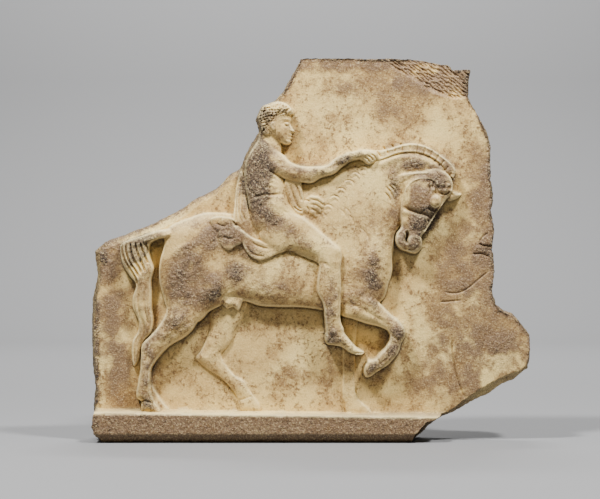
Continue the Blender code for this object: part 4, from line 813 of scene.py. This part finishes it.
def sampled(field, r, x, y):
    """The field's values at places of the drawing."""
    u = np.clip((x - r.x[0]) / r.step, 0, len(r.x) - 1.001)
    v = np.clip((y - r.y[0]) / r.step, 0, len(r.y) - 1.001)
    i, j = v.astype(int), u.astype(int)
    return between_corners(field, i, j, v - i, u - j)


def between_corners(field, i, j, a, b):
    """The values between a grid's rows i and i + 1 and its columns j and j + 1."""
    upper = field[i, j] * (1 - b) + field[i, j + 1] * b
    lower = field[i + 1, j] * (1 - b) + field[i + 1, j + 1] * b
    return upper * (1 - a) + lower * a


def rough_field(shape, cell, seed):
    """Smooth random hills between -1 and 1, about one to every cell grid cells."""
    rng = np.random.default_rng(seed)
    coarse = rng.uniform(-1, 1, (int(shape[0] / cell) + 4, int(shape[1] / cell) + 4))
    v = np.arange(shape[0])[:, None] / cell
    u = np.arange(shape[1])[None, :] / cell
    i, j = v.astype(int), u.astype(int)
    a, b = v - i, u - j
    return between_corners(coarse, i, j, a * a * (3 - 2 * a), b * b * (3 - 2 * b))


# Places with a rough weathered skin, as (x, y, rx, ry, turn, strength)
WEATHERED = [
    (179, 282, 11, 18, 0, 0.7), (215, 291, 11, 13, 0, 0.85), (193, 262, 10, 11, 0, 0.55),
    (176, 248, 14, 7, -10, 0.6), (205, 243, 16, 8, 0, 0.5), (190, 300, 18, 9, 0, 0.4),
    (176, 326, 22, 16, -30, 0.75), (147, 372, 7, 34, 0, 0.7), (148, 406, 10, 9, 0, 0.8),
    (95, 330, 4, 100, 0, 1.0), (98, 255, 7, 9, 0, 0.8),
    (256, 171, 16, 28, 8, 2.0), (263, 121, 8, 9, 0, 1.0), (260, 192, 11, 12, 0, 0.9),
    (270, 216, 20, 9, 10, 0.95), (226, 234, 18, 14, 20, 0.6), (262, 254, 18, 7, 10, 0.6),
    (238, 271, 12, 11, 0, 0.8), (272, 290, 26, 9, 5, 0.5), (374, 268, 12, 20, 10, 0.7),
    (376, 284, 9, 8, 0, 0.6), (354, 300, 12, 8, -20, 0.65), (398, 332, 10, 10, 0, 0.85),
    (376, 306, 12, 6, 40, 0.6), (374, 368, 11, 10, 0, 0.95), (392, 352, 7, 14, 20, 0.7),
    (438, 183, 16, 10, 0, 1.0), (432, 222, 7, 14, 35, 0.8), (420, 224, 13, 14, 15, 1.0),
    (427, 210, 10, 8, 0, 0.7), (402, 240, 6, 8, 0, 0.9), (414, 243, 8, 8, 0, 0.75),
    (416, 165, 20, 6, 5, 0.9),
    (396, 186, 8, 16, 0, 0.7), (136, 254, 14, 20, 0, 0.95), (144, 238, 24, 6, -15, 0.85),
    (106, 262, 10, 16, 0, 0.6), (332, 288, 8, 20, 0, 0.6), (330, 336, 9, 12, 0, 0.85),
    (346, 344, 12, 6, 35, 0.8), (330, 312, 8, 10, 0, 0.7), (302, 240, 24, 7, 32, 0.5),
    (350, 157, 16, 5, -18, 0.9), (312, 172, 30, 6, 6, 0.6), (338, 163, 18, 5, -24, 0.7),
    (278, 110, 14, 8, 0, 0.7), (262, 146, 9, 6, 0, 0.8), (484, 248, 9, 16, 0, 0.6),
    (463, 286, 12, 9, 0, 0.45), (505, 350, 22, 18, 0, 0.5), (216, 350, 5, 16, 20, 0.4),
    (244, 385, 6, 14, -20, 0.4), (350, 395, 5, 22, 0, 0.4), (470, 82, 12, 14, 0, 0.6),
]
# Places with a smooth brown stain
STAINED = [
    (484, 270, 22, 60, 0, 0.8), (500, 345, 36, 28, 0, 0.85), (470, 385, 28, 20, 0, 0.75),
    (452, 262, 20, 40, 0, 0.6), (446, 336, 26, 36, 0, 0.6), (420, 380, 30, 24, 0, 0.5),
    (482, 180, 12, 50, 0, 0.7), (110, 300, 14, 70, 0, 1.0), (118, 370, 16, 40, 0, 0.7),
    (360, 64, 70, 7, 0, 0.9), (445, 82, 34, 16, 0, 0.85), (405, 82, 30, 12, 0, 0.7),
    (345, 88, 20, 12, 0, 0.55), (390, 112, 30, 14, 30, 0.6), (330, 122, 14, 12, 0, 0.3),
    (270, 280, 44, 16, 4, 0.6), (395, 222, 10, 24, 0, 0.65), (375, 225, 16, 22, 0, 0.35),
    (205, 232, 24, 10, -10, 0.5), (290, 376, 28, 14, 10, 0.5), (330, 372, 12, 26, 0, 0.45),
    (192, 280, 36, 38, 0, 0.65), (418, 197, 12, 14, 20, 0.7), (367, 275, 22, 26, 10, 0.45),
    (330, 300, 10, 36, 0, 0.4), (390, 335, 16, 26, 20, 0.5), (150, 350, 12, 50, 0, 0.5),
    (256, 175, 20, 34, 0, 0.5), (320, 168, 46, 9, 0, 0.5), (230, 235, 26, 14, 10, 0.5),
    (300, 236, 26, 12, 32, 0.35), (262, 150, 12, 9, 0, 0.5), (270, 112, 14, 10, 0, 0.45),
    (138, 262, 12, 34, 0, 0.5), (405, 168, 36, 16, 10, 0.5), (408, 240, 12, 11, 0, 1.3),
    (425, 205, 18, 28, 20, 0.8), (412, 148, 30, 5, 3, 0.7), (446, 163, 14, 10, 50, 0.7),
    (257, 172, 18, 30, 6, 0.6), (276, 222, 26, 14, 10, 0.4),
]
# Places where the pale stone shows through both
CLEAN = [
    (200, 380, 32, 26, 0, 0.4), (270, 340, 30, 14, 0, 0.4), (330, 135, 30, 22, 0, 0.4),
    (290, 148, 10, 8, 0, 0.6), (310, 225, 22, 10, 40, 0.5), (345, 190, 16, 20, 0, 0.4),
    (404, 262, 8, 16, 0, 0.6), (404, 300, 8, 20, 0, 0.3), (216, 262, 8, 8, 0, 0.7),
    (188, 236, 10, 5, 0, 0.5), (278, 275, 14, 8, 0, 0.2), (270, 140, 6, 5, 0, 0.6),
    (462, 112, 14, 12, 0, 0.7), (284, 210, 6, 8, 0, 0.5), (435.5, 201.5, 5, 5, 0, 1.3),
    (405, 197, 5, 8, 0, 0.8), (276, 106, 8, 5, 0, 0.5), (405, 216, 3, 8, 0, 0.8),
    (165, 250, 90, 5, -34, 1.0), (222, 205, 14, 10, -30, 0.6), (276, 185, 6, 9, 0, 0.5),
    (330, 255, 7, 6, 0, 0.5),
]
# Scratches and cracks near the right edge, as (path, width, depth)
CRACKS = [
    ([(454, 334), (453.6, 351), (456.3, 370.6), (461.7, 388), (466.3, 401)], 0.8, 2.2),
    ([(487, 322), (487, 337), (484, 351), (483, 362)], 0.8, 0.9),
    ([(444, 291.6), (455, 293.6), (467, 290), (481.7, 278), (492, 270)], 0.8, 1.6),
    ([(440, 302.3), (452, 301.5), (463, 300.3)], 0.8, 1.6),
    ([(473, 254), (484.4, 254), (491, 257)], 0.9, 2.6),
    ([(480, 243), (485, 245.6), (494, 246)], 0.9, 3.0),
    ([(480, 243), (484, 237), (490, 233)], 0.8, 1.5),
]


def edge_distance(r):
    """How far each place lies inside the slab's edge."""
    coarse = Relief(r.x[0], r.x[-1] + 6, r.y[0], r.y[-1] + 6, 3.0)
    at, inward, _ = coarse.from_path(EDGE, 20, closed=True)
    coarse.h[:] = -9
    coarse.h[at] = inward
    return sampled(coarse.h, coarse, r.X, r.Y)


def weathering(r, inward, places, foot, edge):
    """How far each place is weathered or stained, about 0 to 1."""
    total = np.zeros(r.h.shape)
    for place in places:
        total += hill(r.X, r.Y, *place)
    for place in CLEAN:
        total -= hill(r.X, r.Y, *place)
    total += edge * np.exp(-np.maximum(inward - 0.5, 0) / 2) * (r.Y < LEDGE_TOP)
    cell = 1 / r.step
    uneven = 1 + 0.4 * rough_field(total.shape, 9 * cell, 31)
    total *= uneven + 0.3 * rough_field(total.shape, 4 * cell, 32)
    total += foot * np.clip((r.Y - LEDGE_TOP - 2) / 2, 0, 1)
    return np.clip(total, 0, 1.15)


def roughen(r, worn, inward):
    """Undulation of the worked background, and the pitted skin of the weathered places."""
    cell = 1 / r.step
    shape = r.h.shape
    wave = 0.45 * rough_field(shape, 38 * cell, 3) + 0.25 * rough_field(shape, 13 * cell, 4)
    skin = 0.22 * rough_field(shape, 3.4 * cell, 5) + 0.32 * rough_field(shape, 1.7 * cell, 6)
    coarse = np.clip(rough_field(shape, 9 * cell, 8) + 0.5, 0, 1)
    pits = np.clip(rough_field(shape, 2.4 * cell, 7) - 0.42, 0, 1) * coarse
    bumps = 0.5 * rough_field(shape, 6 * cell, 9)
    torn = np.exp(-np.maximum(inward, 0) / 3.0)
    r.h += wave * np.clip(1 - r.h / 10, 0.25, 1) + skin * (0.12 + 1.3 * worn) + bumps * 0.6 * worn
    r.h -= pits * (0.3 + 1.7 * worn) + torn * (0.8 + 1.6 * (rough_field(shape, 5 * cell, 10) + 0.4))


def chisel_marks(r):
    """The roughly picked patch at the upper right, broken back below the face."""
    lower = np.interp(r.X, [392, 410, 432, 455, 468, 480], [68, 76, 92, 99, 97, 104])
    inside = np.clip((lower - r.Y) / 2.5, 0, 1) * np.clip((r.X - 388) / 20, 0, 1)
    r.h -= inside * (1.2 + 0.16 * np.clip(lower - r.Y, 0, 30))
    dice = np.random.default_rng(8)
    for row in range(9):
        for k in range(22):
            x = 394 + 4.1 * k + dice.uniform(-1, 1)
            y = 60 + 4.4 * row + dice.uniform(-1, 1)
            if y > np.interp(x, [392, 410, 432, 455, 480], [68, 74, 90, 97, 101]) or x > 482:
                continue
            r.cut([(x - 3.5, y - 2), (x, y), (x + 3.5, y + 2.6)], 0.75, 1.9, fade=0.2)


def outline_points(spacing):
    """The slab's edge and its inset, sampled evenly along the edge."""
    rows = np.array([(x, y, i) for (x, y), (_, _, i) in zip(EDGE, SLAB_EDGE)])
    around = np.vstack([rows, rows[:1]])
    length = np.concatenate([[0], np.cumsum(np.linalg.norm(np.diff(around[:, :2], axis=0), axis=1))])
    places = np.arange(0, length[-1], spacing)
    return np.column_stack([np.interp(places, length, around[:, c]) for c in range(3)])


def broken_slab():
    """The slab's outline as a solid whose sides are rough broken stone."""
    spacing = 1.3
    edge = outline_points(spacing)
    ahead = np.roll(edge[:, :2], -3, 0) - np.roll(edge[:, :2], 3, 0)
    ahead /= np.linalg.norm(ahead, axis=1, keepdims=True)
    inward = np.column_stack([-ahead[:, 1], ahead[:, 0]])
    base = np.clip((edge[:, 1] - (BASE - 3)) / 3, 0, 1)[:, None]
    front = -1.5 * max(FIGURE_RISE, LEDGE_DEPTH)
    steps = np.arange(-FIGURE_RISE, SLAB_THICKNESS - 0.001, spacing * UNIT)
    depths = np.concatenate([[front], steps, [SLAB_THICKNESS]])
    bm = bmesh.new()
    loops = []
    for depth in depths:
        t = min(max(depth / EDGE_SLOPE_DEPTH, 0), 1)
        share = 1 - t * t * (3 - 2 * t)
        loop = []
        for (x, y, inset), (nx, ny), low in zip(edge, inward, base[:, 0]):
            at = Vector((x * UNIT, depth, -y * UNIT))
            big = noise.noise(at * 38) + 0.5 * noise.noise(at * 90)
            fine = noise.noise(at * 240) + 0.6 * noise.noise(at * 520)
            amount = 1.5 * big + 0.9 * fine - 1.0
            move = inset * share + amount * (1 - 0.85 * low)
            px = min(max(x + nx * move * (1 - low), LEFT + 0.15), RIGHT - 0.15)
            pz = float(to_z(max(y + ny * move, TOP + 0.15))) * (1 - low)
            loop.append(bm.verts.new((to_x(px), BACKGROUND_Y + depth, pz)))
        loops.append(loop)
    bm.faces.new(loops[0])
    bm.faces.new(loops[-1][::-1])
    for near, far in zip(loops, loops[1:]):
        for k in range(len(near)):
            bm.faces.new((near[k], near[k - 1], far[k - 1], far[k]))
    return as_mesh(bm, "broken_slab")


def faced_block(xs, ys, heights, plane, other, name):
    """A block with a face of the given heights in front of plane, closed off flat at other."""
    rows, cols = heights.shape
    bm = bmesh.new()
    bmesh.ops.create_grid(bm, x_segments=cols - 1, y_segments=rows - 1, size=1.0)
    flat = np.array([v.co[:2] for v in bm.verts])
    col = np.rint((flat[:, 0] + 1) / 2 * (cols - 1)).astype(int)
    row = np.rint((1 - flat[:, 1]) / 2 * (rows - 1)).astype(int)
    px, pz = to_x(xs[col]), to_z(ys[row])
    py = plane - heights[row, col]
    for vert, x, y, z in zip(bm.verts, px.tolist(), py.tolist(), pz.tolist()):
        vert.co = (x, y, z)
    rim = [edge for edge in bm.edges if edge.is_boundary]
    for part in bmesh.ops.extrude_edge_only(bm, edges=rim)["geom"]:
        if isinstance(part, bmesh.types.BMVert):
            part.co.y = other
    bmesh.ops.holes_fill(bm, edges=[edge for edge in bm.edges if edge.is_boundary])
    return as_mesh(bm, name)


def as_mesh(bm, name):
    """Turns the normals of a bmesh outward and makes it a mesh."""
    bmesh.ops.recalc_face_normals(bm, faces=bm.faces)
    mesh = bpy.data.meshes.new(name)
    bm.to_mesh(mesh)
    bm.free()
    return mesh


def helper(mesh):
    obj = bpy.data.objects.new(mesh.name, mesh)
    bpy.context.scene.collection.objects.link(obj)
    return obj


def mend(mesh):
    """Takes out the doubled and the hanging triangles that fewer faces leave."""
    bm = bmesh.new()
    bm.from_mesh(mesh)
    seen = {}
    doubled = set()
    for face in bm.faces:
        corners = frozenset(vert.index for vert in face.verts)
        if corners in seen:
            doubled.update((face, seen[corners]))
        seen[corners] = face
    hanging = {face for face in bm.faces if sum(edge.is_boundary for edge in face.edges) > 1}
    bmesh.ops.delete(bm, geom=list(doubled | hanging), context="FACES")
    bmesh.ops.holes_fill(bm, edges=[edge for edge in bm.edges if edge.is_boundary])
    bmesh.ops.recalc_face_normals(bm, faces=bm.faces)
    bm.to_mesh(mesh)
    bm.free()


def carved_relief():
    r = Relief(LEFT - MARGIN, RIGHT + MARGIN, TOP - MARGIN, BASE + MARGIN, CARVING_GRID / UNIT)
    carve(r)
    inward = edge_distance(r)
    worn = weathering(r, inward, WEATHERED, 0.4, 1.1)
    stain = weathering(r, inward, STAINED, 0.9, 0.6)
    near = blurred(r.h, 1.0 / r.step)
    above = np.roll(near, int(2.2 / r.step), axis=0)
    slope = np.gradient(blurred(r.h, 0.8 / r.step), r.step, axis=0)
    # Painted highlight: paler along raised edges and on upward-facing slopes
    rim = 0.9 * np.clip(r.h - near - 0.12, 0, 0.8) + 0.35 * np.clip(slope - 0.4, 0, 1)
    # Painted shade: darker in recesses, below overhanging forms and on downward-facing slopes
    hollow = np.clip(near - r.h - 0.6, 0, 2) / 16 + np.clip(above - r.h - 2, 0, 6) / 22
    far = np.roll(blurred(r.h, 3.5 / r.step), int(8 / r.step), axis=0)
    hollow += 0.6 * np.clip(far - r.h - 4, 0, 12) / 12 + 0.45 * np.clip(-slope - 0.12, 0, 1)
    chisel_marks(r)
    for path, width, depth in CRACKS:
        r.cut(path, width, depth)
    roughen(r, worn, inward)
    r.h = np.minimum(r.h, FIGURE_TOP - 0.6)
    front = faced_block(r.x, r.y, r.h * RISE_UNIT, BACKGROUND_Y, BACK_Y + BACK_OVERLAP, "carved_relief")
    back_x = np.arange(LEFT - MARGIN, RIGHT + MARGIN, 2.0)
    back_y = np.arange(TOP - MARGIN, BASE + MARGIN, 2.0)
    shape = (len(back_y), len(back_x))
    tooled = rough_field(shape, 12, 21) + 0.6 * rough_field(shape, 4, 22)
    tooled = TOOLING_DEPTH * (tooled + 0.3 * rough_field(shape, 1.5, 23) - 1.9)
    back = faced_block(back_x, back_y, tooled, BACK_Y, BACKGROUND_Y - FRONT_OVERLAP, "tooled_back")
    piece = helper(front)
    for cutter in (helper(broken_slab()), helper(back)):
        trim = piece.modifiers.new(cutter.name, "BOOLEAN")
        trim.operation = "INTERSECT"
        trim.solver = "MANIFOLD"
        trim.object = cutter
    graph = bpy.context.evaluated_depsgraph_get()
    whole = bpy.data.meshes.new_from_object(piece.evaluated_get(graph))
    whole.calc_loop_triangles()
    count = len(whole.loop_triangles)
    piece.modifiers.clear()
    piece.data = whole
    thin = piece.modifiers.new("fewer_faces", "DECIMATE")
    thin.ratio = min(1.0, TRIANGLES / count)
    thin.use_collapse_triangulate = True
    graph.update()
    final = bpy.data.meshes.new_from_object(piece.evaluated_get(graph))
    mend(final)
    for vert in final.vertices:
        vert.co.y = min(vert.co.y, BACK_Y)
        vert.co.z = max(vert.co.z, 0)
    piece.modifiers.clear()
    piece.data = final
    for name in ("broken_slab", "tooled_back"):
        bpy.data.objects.remove(bpy.data.objects[name])
    fields = {"worn": worn, "stain": stain, "hollow": hollow, "rim": rim}
    return piece, r, fields


def store_weathering_and_painted_light(mesh, r, fields):
    """Stores the fields on the vertices, the painted shade and highlight among them, and whether each
    vertex is broken stone.
    """
    co = np.empty(len(mesh.vertices) * 3, np.float32)
    mesh.vertices.foreach_get("co", co)
    co = co.reshape(-1, 3).astype(float)
    x = co[:, 0] / UNIT + (LEFT + RIGHT) / 2
    y = from_z(co[:, 2])
    face_y = BACKGROUND_Y - sampled(r.h, r, x, y) * RISE_UNIT
    broken = np.clip((co[:, 1] - face_y) / BREAK_WIDTH - 0.3, 0, 1)
    normals = np.empty(len(mesh.vertices) * 3, np.float32)
    mesh.vertices.foreach_get("normal", normals)
    # Painted highlight: broken stone that faces upward gets less of the dark crust, as if lit from above
    upward = np.clip(normals.reshape(-1, 3)[:, 2] - 0.1, 0, 1)
    broken *= 1 - 0.75 * upward
    pale = hill(x, y, 165, 226, 95, 16, -31, 0.8) + hill(x, y, 500, 390, 45, 14, -25, 0.55)
    pale = np.clip(pale, 0, 1) * np.clip(1 - co[:, 1] / 0.02, 0, 1)
    values = {"broken": broken * (1 - pale)}
    for name, field in fields.items():
        values[name] = sampled(field, r, x, y) * (1 - broken)
    for name, amount in values.items():
        layer = mesh.attributes.new(name, "FLOAT", "POINT")
        layer.data.foreach_set("value", np.clip(amount, 0, 1.3).astype(np.float32))


IVORY = (0.80, 0.59, 0.222, 1)
CREAM = (0.65, 0.44, 0.155, 1)
TAN = (0.34, 0.20, 0.068, 1)
BROWN = (0.187, 0.112, 0.061, 1)
GREY_BROWN = (0.132, 0.088, 0.058, 1)
RUST = (0.18, 0.096, 0.033, 1)
UMBER = (0.05, 0.037, 0.026, 1)
CRUST_DARK = (0.126, 0.086, 0.047, 1)
CRUST_LIGHT = (0.29, 0.21, 0.112, 1)
PALE = (0.98, 0.81, 0.42, 1)


class Nodes:
    """Adds nodes to a material and links them as they are named."""

    def __init__(self, name):
        self.material = bpy.data.materials.new(name)
        self.material.use_nodes = True
        self.tree = self.material.node_tree
        self.shader = self.tree.nodes["Principled BSDF"]

    def add(self, kind, inputs, **settings):
        node = self.tree.nodes.new(kind)
        for key, value in settings.items():
            setattr(node, key, value)
        for key, value in inputs.items():
            self.feed(node.inputs[key], value)
        return node

    def feed(self, socket, value):
        if isinstance(value, bpy.types.NodeSocket):
            self.tree.links.new(value, socket)
        else:
            socket.default_value = value

    def grain(self, scale, detail, rough=0.55, warp=0.0):
        inputs = {"Vector": self.place, "Scale": scale, "Detail": detail}
        inputs.update({"Roughness": rough, "Distortion": warp})
        return self.add("ShaderNodeTexNoise", inputs).outputs["Fac"]

    def math(self, operation, a, b=0.0, clamp=False):
        node = self.add("ShaderNodeMath", {0: a, 1: b}, operation=operation, use_clamp=clamp)
        return node.outputs[0]

    def times(self, a, b):
        return self.math("MULTIPLY", a, b)

    def total(self, *terms):
        """The sum of the values, each times its weight."""
        result = None
        for value, weight in terms:
            term = value * weight if isinstance(value, float) else self.times(value, weight)
            result = term if result is None else self.math("ADD", result, term)
        return result

    def between(self, value, low, high):
        """0 below low, 1 above high, smooth between."""
        node = self.add("ShaderNodeMapRange", {"Value": value, "From Min": low, "From Max": high},
                        interpolation_type="SMOOTHSTEP")
        return node.outputs["Result"]

    def mix(self, share, a, b):
        node = self.add("ShaderNodeMix", {"Factor": share, 6: a, 7: b}, data_type="RGBA")
        return node.outputs[2]

    def attribute(self, name):
        return self.add("ShaderNodeAttribute", {}, attribute_name=name).outputs["Fac"]


def weathered_marble():
    n = Nodes("weathered_marble")
    n.place = n.add("ShaderNodeTexCoord", {}).outputs["Object"]
    names = ("worn", "stain", "hollow", "rim", "broken")
    worn, stain, hollow, rim, broken = (n.attribute(name) for name in names)
    cloud = n.grain(13, 4.0, 0.55, 0.3)
    mottle = n.grain(48, 6.0, 0.65, 0.3)
    patch = n.grain(85, 6.0, 0.7, 0.8)
    spots = n.grain(290, 3.0, 0.6, 0.4)
    grit = n.grain(560, 3.0, 0.65)
    # Ivory to tan, in clouds and finer mottling
    colour = n.mix(n.between(cloud, 0.36, 0.62), IVORY, CREAM)
    tan = n.total((stain, 0.30), (mottle, 1.0), (cloud, 0.5), (spots, 0.2))
    colour = n.mix(n.times(n.between(tan, 0.79, 1.08), 0.9), colour, TAN)
    brown = n.total((stain, 0.50), (worn, 0.35), (cloud, 0.4), (mottle, 0.5), (spots, 0.15))
    brown = n.between(brown, 0.62, 1.06)
    colour = n.mix(n.times(brown, 0.85), colour, BROWN)
    # Grey-brown rough patina over the weathered places
    grey = n.total((worn, 0.42), (patch, 0.75), (spots, 0.30), (mottle, 0.2))
    grey = n.between(grey, 0.82, 1.20)
    colour = n.mix(n.times(grey, n.total((grit, -1.0), (1.0, 1.25))), colour, GREY_BROWN)
    # Rust specks in loose clusters
    cluster = n.between(n.total((mottle, 1.0), (worn, 0.14)), 0.43, 0.58)
    rust = n.times(n.between(spots, 0.52, 0.61), cluster)
    colour = n.mix(n.times(rust, n.total((grey, -0.5), (1.0, 0.8))), colour, RUST)
    # Painted shade: umber laid into recesses, below overhangs and on downward-facing slopes
    colour = n.mix(n.math("MULTIPLY", hollow, 0.6, clamp=True), colour, UMBER)
    crust = n.mix(n.between(patch, 0.38, 0.62), CRUST_DARK, CRUST_LIGHT)
    crust = n.mix(n.between(grit, 0.38, 0.56), UMBER, crust)
    colour = n.mix(n.times(broken, 0.92), colour, crust)
    # Fine grain, pale crystals and dark pits
    crystals = n.times(n.between(grit, 0.53, 0.68), n.total((grey, 0.3), (1.0, 0.28)))
    colour = n.mix(crystals, colour, PALE)
    pits = n.total((worn, 0.3), (grey, 0.5), (stain, 0.2), (broken, 0.4), (1.0, 0.16))
    pits = n.times(n.between(grit, 0.48, 0.38), pits)
    colour = n.mix(pits, colour, UMBER)
    # Painted highlight: pale along raised edges and on upward-facing slopes
    colour = n.mix(n.math("MULTIPLY", rim, 0.55, clamp=True), colour, PALE)
    n.feed(n.shader.inputs["Base Color"], colour)
    n.feed(n.shader.inputs["Roughness"], n.total((grey, 0.2), (broken, 0.2), (1.0, 0.5)))
    n.feed(n.shader.inputs["Specular IOR Level"], 0.35)
    n.feed(n.shader.inputs["Subsurface Weight"], 0.03)
    n.feed(n.shader.inputs["Subsurface Radius"], (0.004, 0.003, 0.0018))
    n.feed(n.shader.inputs["Subsurface Scale"], 0.5)
    skin = n.total((grit, 0.5), (spots, 0.9), (n.grain(160, 3.0), 0.6))
    depth = n.total((worn, 0.35), (grey, 0.55), (stain, 0.15), (broken, 0.9), (1.0, 0.16))
    height = n.times(skin, depth)
    bump = n.add("ShaderNodeBump", {"Height": height, "Strength": 1.0, "Distance": 0.0036})
    n.feed(n.shader.inputs["Normal"], bump.outputs["Normal"])
    return n.material


# The studio, in metres
BACKDROP_PLACE = 3.2
BACKDROP_BEND = 0.7
STUDIO_REACH = 3.5
STUDIO_HALF_WIDTH = 4
STUDIO_GREY = (0.232, 0.232, 0.234, 1)


def studio():
    """A pale floor that sweeps up, far behind, into a grey backdrop."""
    bm = bmesh.new()
    start = BACKDROP_PLACE - BACKDROP_BEND
    profile = [(-STUDIO_REACH, 0.0), (start, 0.0)]
    for k in range(1, 17):
        a = math.pi / 2 * k / 16
        profile.append((start + BACKDROP_BEND * math.sin(a), BACKDROP_BEND * (1 - math.cos(a))))
    profile.append((BACKDROP_PLACE, STUDIO_REACH))
    verts = [bm.verts.new((-STUDIO_HALF_WIDTH, y, z)) for y, z in profile]
    edges = [bm.edges.new(pair) for pair in zip(verts, verts[1:])]
    swept = bmesh.ops.extrude_edge_only(bm, edges=edges)["geom"]
    for part in swept:
        if isinstance(part, bmesh.types.BMVert):
            part.co.x = STUDIO_HALF_WIDTH
    mesh = as_mesh(bm, "studio_floor")
    mesh.shade_smooth()
    floor = helper(mesh)
    grey = Nodes("studio_grey")
    grey.feed(grey.shader.inputs["Base Color"], STUDIO_GREY)
    grey.feed(grey.shader.inputs["Roughness"], 0.9)
    mesh.materials.append(grey.material)


def light(name, place, aim, size, power):
    lamp = bpy.data.lights.new(name, "AREA")
    lamp.energy = power
    lamp.size = size
    obj = bpy.data.objects.new(name, lamp)
    obj.location = place
    obj.rotation_euler = (Vector(aim) - Vector(place)).to_track_quat("-Z", "Y").to_euler()
    bpy.context.scene.collection.objects.link(obj)


def lights():
    middle = (0, 0, 0.23)
    light("key", (-0.72, -0.90, 1.87), middle, 0.26, 70)
    light("second", (0.78, -0.90, 1.82), middle, 0.26, 58)
    light("backdrop_light", (0, BACKDROP_PLACE - 1.5, 2.6), (0, BACKDROP_PLACE, 0.5), 1.2, 160)
    world = bpy.data.worlds.new("studio")
    world.use_nodes = True
    sky = world.node_tree.nodes["Background"].inputs
    sky["Color"].default_value = (0.8, 0.9, 1.0, 1)
    sky["Strength"].default_value = 0.05
    bpy.context.scene.world = world


VIEW_DISTANCE = 2.4
FRAME_UNITS = 600  # the width of the view in the drawing
SENSOR_WIDTH = 36


def camera():
    data = bpy.data.cameras.new("camera")
    frame_width = FRAME_UNITS * UNIT * EDGE_SPREAD
    data.sensor_width = SENSOR_WIDTH
    data.lens = SENSOR_WIDTH * VIEW_DISTANCE / frame_width
    obj = bpy.data.objects.new("camera", data)
    x, y = VIEW_MIDDLE
    obj.location = (to_x(x), BACKGROUND_Y - VIEW_DISTANCE, float(to_z(y)))
    obj.rotation_euler = (math.pi / 2, 0, 0)
    bpy.context.scene.collection.objects.link(obj)
    bpy.context.scene.camera = obj


camera()
lights()
studio()
relief, r, fields = carved_relief()
store_weathering_and_painted_light(relief.data, r, fields)
relief.data.materials.clear()
relief.data.materials.append(weathered_marble())
relief.data.shade_smooth()
relief.data.set_sharp_from_angle(angle=SHARP_ANGLE)
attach(relief, "root")
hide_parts("votive_relief")
